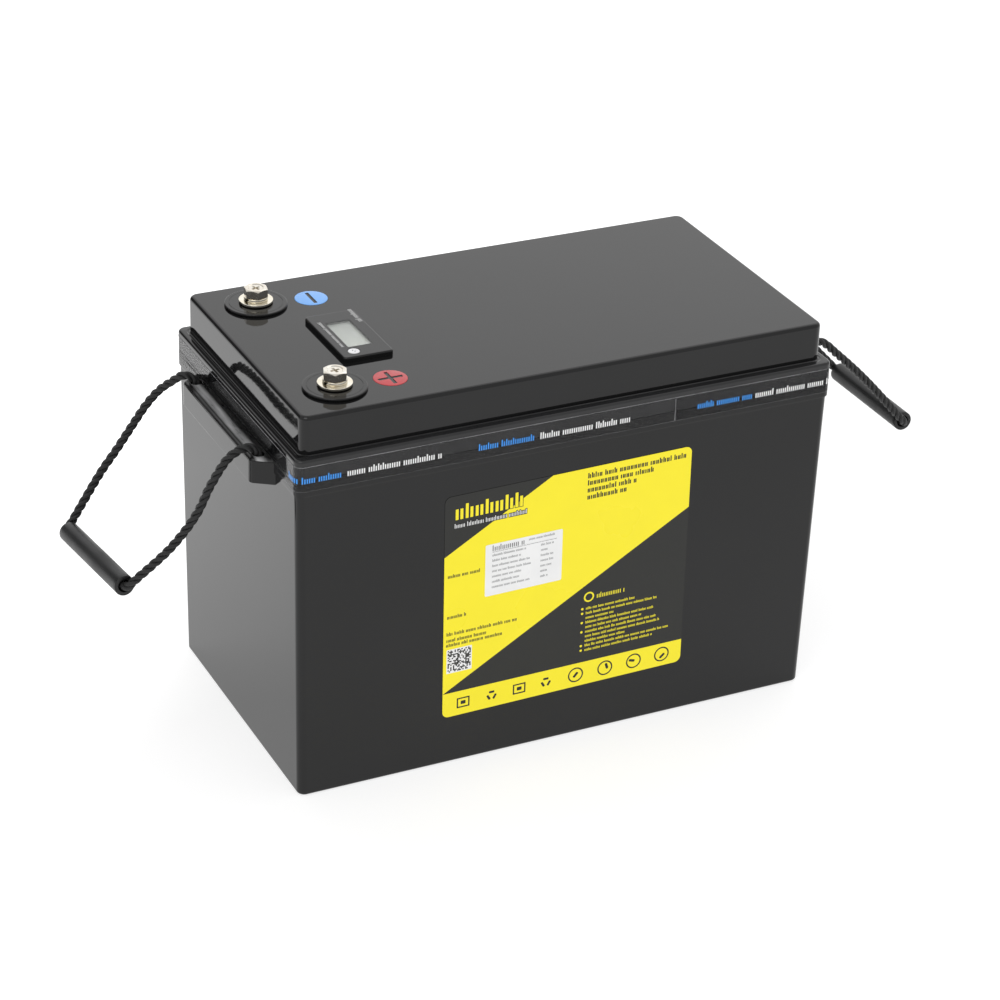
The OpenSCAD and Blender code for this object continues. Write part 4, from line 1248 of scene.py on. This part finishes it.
def make_bolt(name, turn):
    node = "bolt_" + name
    post = centre_of("terminal_post_" + name)
    head_z = box_mm(node)[1].z - HEAD_H
    piece = Shape().add(loft(bolt_rings())).build("hex_bolt_" + name, [NICKEL])
    for arm in (0, 90):
        recess = Shape()
        rings = [[(x * s, y * s, z) for x, y in flat_ring(6.0, 1.7, 0.2, 2)]
                 for s, z in ((0.5, HEAD_H - 3.0), (0.9, HEAD_H - 1.2), (1.05, HEAD_H + 0.5))]
        recess.add(loft(rings), place=at(0, 0, 0, arm))
        combine(piece, recess, "DIFFERENCE")
    tidy_mesh(piece, 28)
    piece.data.transform(Matrix.Scale(MM, 4) @ at(post.x, post.y, head_z, turn) @ Matrix.Scale(1 / MM, 4))
    settle(piece, node, node + "_screw")


SIGN_L = 15.0
SIGN_W = 2.2


def make_polarity(name, material, arms):
    """Coloured disc let into the lid, with its sign engraved and filled dark."""
    node = "polarity_" + name
    low, high = box_mm(node)
    centre = (low + high) / 2
    radius = (high.x - low.x) / 2
    profile = [(0.4, low.z), (radius, low.z)]
    profile += arc((radius - 0.2, high.z - 0.2), 0.2, 0, 90, 3)
    profile += [(0.4, high.z)]
    shape = Shape().add(lathe(profile, 80), place=at(centre.x, centre.y))
    piece = shape.build("sign_" + name, [material, MARK])
    for arm in arms:
        groove = Shape()
        groove.add(prism(flat_ring(SIGN_W, SIGN_L, 0.3, 3), high.z - 0.35, high.z + 1), 1,
                   at(centre.x, centre.y, 0, arm))
        combine(piece, groove, "DIFFERENCE")
    tidy_mesh(piece)
    settle(piece, node)


# ---------------------------------------------------------------- meter

def make_bezel():
    """Meter bezel with soft edges, a stepped window opening and a button hole."""
    low, high = box_mm("meter_bezel")
    window_low, window_high = box_mm("meter_window")
    button = centre_of("meter_button")
    centre = (low + high) / 2
    width, length = high.x - low.x, high.y - low.y

    def outline_at(inset):
        return flat_ring(width - 2 * inset, length - 2 * inset, 2.2 - inset, 6)

    piece = Shape().add(soft_prism(outline_at, low.z, high.z, 1.0), place=at(centre.x, centre.y)).build(
        "bezel_frame", [BEZEL])
    cuts = Shape()
    window = flat_ring(window_high.x - window_low.x + 0.1, window_high.y - window_low.y + 0.1, 0.5, 3)
    middle = (window_low + window_high) / 2
    cuts.add(prism(window, low.z + 1.0, high.z + 1), place=at(middle.x, middle.y))
    cuts.add(lathe([(3.58, low.z + 1.0), (3.58, high.z - 0.15), (3.8, high.z + 0.05), (3.8, high.z + 1)], 40),
             place=at(button.x, button.y))
    combine(piece, cuts, "DIFFERENCE")
    under = Shape()
    under.add(prism(flat_ring(width - 8, length - 8, 1.5), low.z - 1, high.z - 1.4),
              place=at(centre.x, centre.y))
    combine(piece, under, "DIFFERENCE")
    tidy_mesh(piece)
    flat_normals(piece)
    settle(piece, "meter_bezel")


def make_meter_print():
    """Two small word-like lines beside the window."""
    rng = random.Random(11)
    top = box_mm("meter_bezel")[1].z + 0.002
    shape = Shape()
    for x, start, width, height in ((-112.9, -19.5, 36, 2.3), (-89.6, 8.5, 18.5, 3.2)):
        for cursor, bar, tall in glyph_line(width, height, rng):
            outline = flat_ring(tall, bar, min(0.15, bar / 3), 2)
            shape.add(prism(outline, 0, PRINT_T), 0,
                      at(x + (height - tall) / 2, start + width - cursor - bar / 2, top))
    piece = shape.build("meter_print", [SOFT_WHITE])
    settle(piece)


def make_window():
    low, high = box_mm("meter_window")
    centre = (low + high) / 2

    def outline_at(inset):
        return flat_ring(high.x - low.x - 2 * inset, high.y - low.y - 2 * inset, 0.45, 3)

    piece = Shape().add(soft_prism(outline_at, low.z, high.z, 0.15, 2), place=at(centre.x, centre.y)).build(
        "window_pane", [GLASS])
    settle(piece, "meter_window")


def make_button():
    """White round button with a domed cap, a shallow ring and a stem."""
    low, high = box_mm("meter_button")
    centre = (low + high) / 2
    radius = (high.x - low.x) / 2
    shoulder = LID_TOP - 3
    profile = [(0.3, low.z), (1.5, low.z), (1.5, shoulder), (radius, shoulder)]
    profile += [(radius, high.z - 0.5)] + arc((radius - 0.5, high.z - 0.55), 0.5, 10, 90, 4)
    profile += [(2.3, high.z - 0.03), (2.1, high.z - 0.18), (1.8, high.z - 0.18), (1.6, high.z - 0.02),
                (0.3, high.z)]
    shape = Shape().add(lathe(profile, 48), place=at(centre.x, centre.y))
    sign = prism(flat_ring(1.0, 2.6, 0.4, 3), high.z - 0.03, high.z - 0.005)
    shape.add(sign, 1, at(centre.x, centre.y, 0, 30))
    piece = shape.build("button_cap", [BUTTON, GREY])
    settle(piece, "meter_button", "button")


# ---------------------------------------------------------------- rope handles

LAY = 15.6
STRAND_OFFSET = 1.4
STRAND_R = 1.27
RING_GAP = 0.9
STRAND_STEPS = 12


def smooth_path(points, gap):
    """Even points along a Catmull-Rom curve through the given points."""
    ends = [points[0] * 2 - points[1]] + points + [points[-1] * 2 - points[-2]]
    dense = []
    for i in range(1, len(ends) - 2):
        p0, p1, p2, p3 = ends[i - 1:i + 3]
        knots = [0.0]
        for a, b in ((p0, p1), (p1, p2), (p2, p3)):
            knots.append(knots[-1] + max((b - a).length, 0.01) ** 0.5)
        for j in range(24):
            t = knots[1] + (knots[2] - knots[1]) * j / 24
            a1 = p0.lerp(p1, (t - knots[0]) / (knots[1] - knots[0]))
            a2 = p1.lerp(p2, (t - knots[1]) / (knots[2] - knots[1]))
            a3 = p2.lerp(p3, (t - knots[2]) / (knots[3] - knots[2]))
            b1 = a1.lerp(a2, (t - knots[0]) / (knots[2] - knots[0]))
            b2 = a2.lerp(a3, (t - knots[1]) / (knots[3] - knots[1]))
            dense.append(b1.lerp(b2, (t - knots[1]) / (knots[2] - knots[1])))
    dense.append(points[-1])
    lengths = np.cumsum([0.0] + [(b - a).length for a, b in zip(dense, dense[1:])])
    count = int(lengths[-1] / gap)
    wanted = np.linspace(0, lengths[-1], count + 1)
    columns = [np.interp(wanted, lengths, [p[k] for p in dense]) for k in range(3)]
    return [Vector(p) for p in zip(*columns)]


def tangents(path):
    """Unit direction at each point of a path."""
    result = []
    for i in range(len(path)):
        ahead = path[min(i + 1, len(path) - 1)]
        behind = path[max(i - 1, 0)]
        result.append((ahead - behind).normalized())
    return result


def carried_frames(path):
    """A sideways unit vector at each point, carried along without twisting."""
    along = tangents(path)
    side = along[0].orthogonal().normalized()
    frames = []
    for direction in along:
        side = (side - direction * side.dot(direction)).normalized()
        frames.append((direction, side, direction.cross(side)))
    return frames


def strand_mesh(path, radius, shape, uvs):
    """Sweeps one strand along its own path, with UVs along and round it, in millimetres."""
    rings = []
    frames = carried_frames(path)
    angles = [TURN * j / STRAND_STEPS for j in range(STRAND_STEPS)]
    for point, (_, side, up) in zip(path, frames):
        rings.append([point + (side * math.cos(a) + up * math.sin(a)) * radius for a in angles])
    verts, faces = loft(rings)
    for i in range(len(rings) - 1):
        for j in range(STRAND_STEPS):
            u0, u1 = i * RING_GAP, (i + 1) * RING_GAP
            v0, v1 = j / STRAND_STEPS, (j + 1) / STRAND_STEPS
            twist = 0.09
            low, high = twist * u0, twist * u1
            uvs.extend([(u0, v0 + low), (u0, v1 + low), (u1, v1 + high), (u1, v0 + high)])
    uvs.extend([(0, 0)] * (2 * STRAND_STEPS))
    shape.add((verts, faces))


def rope_mesh(name, path):
    """Three strands twisted about a path."""
    frames = carried_frames(path)
    shape = Shape()
    uvs = []
    for strand in range(3):
        centre = []
        for i, (point, (_, side, up)) in enumerate(zip(path, frames)):
            angle = TURN * (i * RING_GAP / LAY + strand / 3)
            centre.append(point + (side * math.cos(angle) + up * math.sin(angle)) * STRAND_OFFSET)
        strand_mesh(centre, STRAND_R, shape, uvs)
    mesh = bpy.data.meshes.new(name)
    mesh.from_pydata([Vector(v) * MM for v in shape.verts], [], shape.faces)
    layer = mesh.uv_layers.new(name="strand")
    layer.data.foreach_set("uv", [c for uv in uvs for c in uv])
    mesh.materials.append(ROPE)
    piece = bpy.data.objects.new(name, mesh)
    bpy.context.scene.collection.objects.link(piece)
    face_outwards(mesh)
    smooth(mesh, 80)
    return piece


def grip_frame(side):
    """Centre and direction of a grip tube, in millimetres, the direction pointing to +Y."""
    joint = JOINTS[f"grip_{side}_spin"]
    return Vector(joint["pos_m"]) / MM, Vector(joint["axis"]).normalized()


GRIP_HALF = 41.5
GRIP_R = 6.1
BORE_R = 3.8


def make_grip(side):
    """Grip tube with rounded mouths and a slightly uneven wall."""
    centre, axis = grip_frame(side)
    rows = ring_profile(BORE_R, GRIP_R, -GRIP_HALF, GRIP_HALF, 0.3)
    body = []
    for k in range(1, 24):
        z = -GRIP_HALF + 2 * GRIP_HALF * k / 24
        body.append((GRIP_R + 0.03 * math.sin(9.0 * k), z))
    outer = [i for i, (radius, _) in enumerate(rows) if radius > GRIP_R - 0.01]
    rows[outer[0] + 1:outer[0] + 1] = body
    place = Matrix.Translation(centre) @ axis.to_track_quat("Z", "Y").to_matrix().to_4x4()
    piece = Shape().add(lathe(rows, 64, closed=True), place=place).build(f"grip_tube_{side}", [GRIP], 50)
    settle(piece, f"grip_{side}", f"grip_{side}_tube")


LEFT_FRONT_LEG = [(183.5, 0, 212.3), (193.5, 0, 208.5), (205, 0, 192.5), (214, 0, 174.5), (229, 0, 156)]
LEFT_BACK_LEG = [(184.4, 1.5, 212.6), (190.5, 6.5, 207.4), (196.5, 11, 201.2), (204, 13.5, 192.2),
                 (213, 14.8, 179.4), (224, 14.5, 165.2), (234, 12.5, 154.8)]
RIGHT_FRONT_LEG = [(184.5, 0, 212.6), (193, 0, 211.5), (206, 0, 200.5), (229, 0, 178.5)]
RIGHT_BACK_LEG = [(184.5, 0, 212.6), (193, 0, 211.3), (206, 0, 199.5), (229, 0, 177)]
ROPE_OUT = 2.9


def rope_leg(sign, y_sign, points, mouth, axis):
    """One leg of a handle's rope, from its bead up through the boss and down to the mouth of the tube.

    Each point is its distance along X, how far it bulges beyond the straight line in Y, and its height.
    """
    root = [(HOLE_X, 0, BOSS_TOP - 12.0), (HOLE_X, 0, BOSS_TOP - 3.0), (HOLE_X + 1.4, 0, BOSS_TOP + 1.9)]
    beyond = mouth + axis * y_sign * ROPE_OUT
    reach = abs(mouth.x) - HOLE_X
    line = []
    for x, bulge, z in root + points:
        share = (x - HOLE_X) / reach
        y = HOLE_Y + (abs(beyond.y) - HOLE_Y) * share + bulge
        line.append(Vector((sign * x, y_sign * y, z)))
    rise = (line[-1] - beyond).normalized()
    line.append(beyond + rise * 7.0)
    line.append(beyond + rise * 2.2)
    line.append(mouth + axis * y_sign * 0.9)
    return line


def rope_points(side):
    """Shape points of one handle's rope, from its front bead through the grip to its back bead."""
    sign = -1 if side == "left" else 1
    front, back = (LEFT_FRONT_LEG, LEFT_BACK_LEG) if side == "left" else (RIGHT_FRONT_LEG, RIGHT_BACK_LEG)
    centre, axis = grip_frame(side)
    front_mouth = centre - axis * GRIP_HALF
    back_mouth = centre + axis * GRIP_HALF
    inside = [front_mouth + axis * 4, front_mouth + axis * 12, centre, back_mouth - axis * 12,
              back_mouth - axis * 4]
    return (rope_leg(sign, -1, front, front_mouth, axis) + inside
            + list(reversed(rope_leg(sign, 1, back, back_mouth, axis))))


def make_rope(side):
    path = smooth_path(rope_points(side), RING_GAP)
    piece = rope_mesh(f"twisted_rope_{side}", path)
    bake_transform(piece)
    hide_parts(f"rope_{side}")


BEAD_R = 4.0
BEAD_SHIFT = 1.5


def make_rope_ends(side):
    """Melted beads that stop the rope under the boss."""
    rng = random.Random(5 if side == "left" else 6)
    sign = -1 if side == "left" else 1
    shape = Shape()
    for y_sign in (-1, 1):
        profile = []
        for i in range(1, 12):
            angle = -math.pi / 2 + math.pi * i / 12
            radius = BEAD_R * math.cos(angle) * (1 + 0.04 * rng.uniform(-1, 0))
            profile.append((max(radius, 0.5), BEAD_R * math.sin(angle)))
        place = at(sign * HOLE_X, y_sign * (HOLE_Y - BEAD_SHIFT), BOSS_TOP - BOSS_ROOF - BEAD_R - 0.3)
        shape.add(lathe(profile, 32), place=place)
    piece = shape.build(f"rope_beads_{side}", [ROPE], 60)
    settle(piece, f"rope_root_{side}")


# ---------------------------------------------------------------- carried-over CAD nodes

INSIDE_LOOKS = {
    "lid_seal": SEALANT, "terminal_post_neg": BRASS, "terminal_post_pos": BRASS, "terminal_seals": RUBBER,
    "terminal_nuts": STEEL, "meter_lcd": LCD, "meter_body": METER_BOX, "meter_board": BOARD,
    "meter_lead": RED_CABLE, "cell_1": CELL, "cell_2": CELL, "cell_3": CELL, "cell_4": CELL,
    "cell_sheets": FIBRE_SHEET, "end_plates": ALUMINIUM, "bands": BAND_STEEL, "busbars": COPPER,
    "cell_nuts": STEEL, "foam_floor": FOAM, "foam_right": FOAM, "foam_left": FOAM, "bms_bracket": BRACKET,
    "bms_board": BOARD, "bms_transistors": EPOXY, "bms_heatsink": HEATSINK, "bms_screws": STEEL,
    "lead_positive": RED_CABLE, "lead_cell_negative": BLACK_CABLE, "lead_negative": BLACK_CABLE,
    "balance_harness": BLACK_CABLE, "balance_plug": NYLON, "temperature_probe": BLACK_CABLE,
}


def dress_nodes():
    """Gives each CAD node that stays its own look."""
    for name, material in INSIDE_LOOKS.items():
        mesh = NODES[name].data
        mesh.materials.clear()
        mesh.materials.append(material)
        smooth(mesh, 30)


# ---------------------------------------------------------------- studio

def make_floor():
    """Plain white floor that glows as painted light, brighter towards the back left."""
    look = Look("floor_painted_glow", (0.45, 0.45, 0.45), 0.9)
    look.speckle((0.45, 0.45, 0.45), (0.43, 0.43, 0.43), 3.0)
    look.bump(look.noise(200.0), 0.00005)
    # Painted light: the floor glows, which keeps it white next to the object where its shadow would fall,
    # more so towards the back left.
    look.shader.inputs["Emission Color"].default_value = (1, 1, 1, 1)
    towards_back = look.maths("SUBTRACT", look.maths("MULTIPLY", look.axis("Y"), 0.9),
                              look.maths("MULTIPLY", look.axis("X"), 0.45))
    look.drive("Emission Strength", look.remap(towards_back, 0.1, 0.4, 0.68, 1.02))
    size = 6000.0
    level = -0.05
    corners = [(-size, -size, level), (size, -size, level), (size, size, level), (-size, size, level)]
    mesh = bpy.data.meshes.new("floor")
    mesh.from_pydata([Vector(v) * MM for v in corners], [], [[0, 1, 2, 3]])
    mesh.materials.append(look.material)
    floor = bpy.data.objects.new("floor", mesh)
    bpy.context.scene.collection.objects.link(floor)


# Levels of the studio, and the place in metres that both lights look at.
STUDIO_LEVEL = 0.75
GLOW_LEVEL = 1.27
FLAG_LEVEL = 0.12
LIGHT_AIM = (0, 0, 0.1)
LIGHT_SIZE = 1.6


def sky_direction(azimuth, elevation):
    """Unit vector that is azimuth degrees from +Y towards +X, and elevation degrees up."""
    turn, rise = math.radians(azimuth), math.radians(elevation)
    return (math.sin(turn) * math.cos(rise), math.cos(turn) * math.cos(rise), math.sin(rise))


def make_world():
    """White studio, brighter at the back right, with a dark flag low at the back left."""
    world = bpy.data.worlds.new("studio")
    world.use_nodes = True
    tree = world.node_tree
    background = tree.nodes["Background"]
    background.inputs["Color"].default_value = (1, 1, 1, 1)
    place = tree.nodes.new("ShaderNodeTexCoord").outputs["Generated"]

    def lobe(direction, inner, outer, level, target):
        """Blends the strength before towards target within an angle of a direction."""
        dot = tree.nodes.new("ShaderNodeVectorMath")
        dot.operation = "DOT_PRODUCT"
        tree.links.new(place, dot.inputs[0])
        dot.inputs[1].default_value = direction
        share = tree.nodes.new("ShaderNodeMapRange")
        share.interpolation_type = "SMOOTHSTEP"
        tree.links.new(dot.outputs["Value"], share.inputs["Value"])
        share.inputs["From Min"].default_value = math.cos(math.radians(outer))
        share.inputs["From Max"].default_value = math.cos(math.radians(inner))
        blend = tree.nodes.new("ShaderNodeMix")
        tree.links.new(share.outputs["Result"], blend.inputs["Factor"])
        if isinstance(level, float):
            blend.inputs["A"].default_value = level
        else:
            tree.links.new(level, blend.inputs["A"])
        blend.inputs["B"].default_value = target
        return blend.outputs["Result"]

    strength = lobe(sky_direction(26.8, 28.3), 12, 50, STUDIO_LEVEL, GLOW_LEVEL)
    strength = lobe(sky_direction(-34, 12), 14, 30, strength, FLAG_LEVEL)
    tree.links.new(strength, background.inputs["Strength"])
    bpy.context.scene.world = world


def add_light(name, place, aim, size, power):
    """Soft square light that looks at a point; places in metres."""
    data = bpy.data.lights.new(name, "AREA")
    data.shape = "SQUARE"
    data.size = size
    data.energy = power
    light = bpy.data.objects.new(name, data)
    light.location = place
    direction = Vector(aim) - Vector(place)
    light.rotation_mode = "QUATERNION"
    light.rotation_quaternion = direction.to_track_quat("-Z", "Y")
    bpy.context.scene.collection.objects.link(light)


def make_camera():
    """Camera at the catalogue view's angle, seen from the front left and above."""
    azimuth = math.radians(26.814)
    elevation = math.radians(28.323)
    roll = math.radians(2.204)
    place = Vector((-0.75047, -1.48793, 1.01502))
    forward = Vector((math.sin(azimuth) * math.cos(elevation), math.cos(azimuth) * math.cos(elevation),
                      -math.sin(elevation)))
    level = forward.cross(Vector((0, 0, 1))).normalized()
    upright = level.cross(forward)
    right = level * math.cos(roll) + upright * math.sin(roll)
    up = right.cross(forward)
    turn = Matrix((right, up, -forward)).transposed().to_4x4()
    data = bpy.data.cameras.new("camera")
    data.lens = 111.07
    data.sensor_width = 36.0
    data.clip_end = 50.0
    camera = bpy.data.objects.new("camera", data)
    camera.matrix_world = Matrix.Translation(place) @ turn
    bpy.context.scene.collection.objects.link(camera)
    bpy.context.scene.camera = camera


make_case()
make_lid()
make_film()
make_film_print()
make_label()
make_sticker()
for terminal, bolt_turn in (("neg", 20), ("pos", 8)):
    make_terminal_disc(terminal)
    make_washer(terminal)
    make_spring_washer(terminal)
    make_bolt(terminal, bolt_turn)
make_polarity("neg", DISC_BLUE, (0,))
make_polarity("pos", DISC_RED, (0, 90))
make_bezel()
make_meter_print()
make_window()
make_button()
for handle in ("left", "right"):
    make_rope(handle)
    make_rope_ends(handle)
    make_grip(handle)
dress_nodes()
make_floor()
make_world()
add_light("key", (-1.4, -1.2, 2.6), LIGHT_AIM, LIGHT_SIZE, 16.0)
add_light("fill", (1.6, 0.6, 2.4), LIGHT_AIM, LIGHT_SIZE, 5.0)
make_camera()
bpy.context.scene.view_settings.view_transform = "Standard"
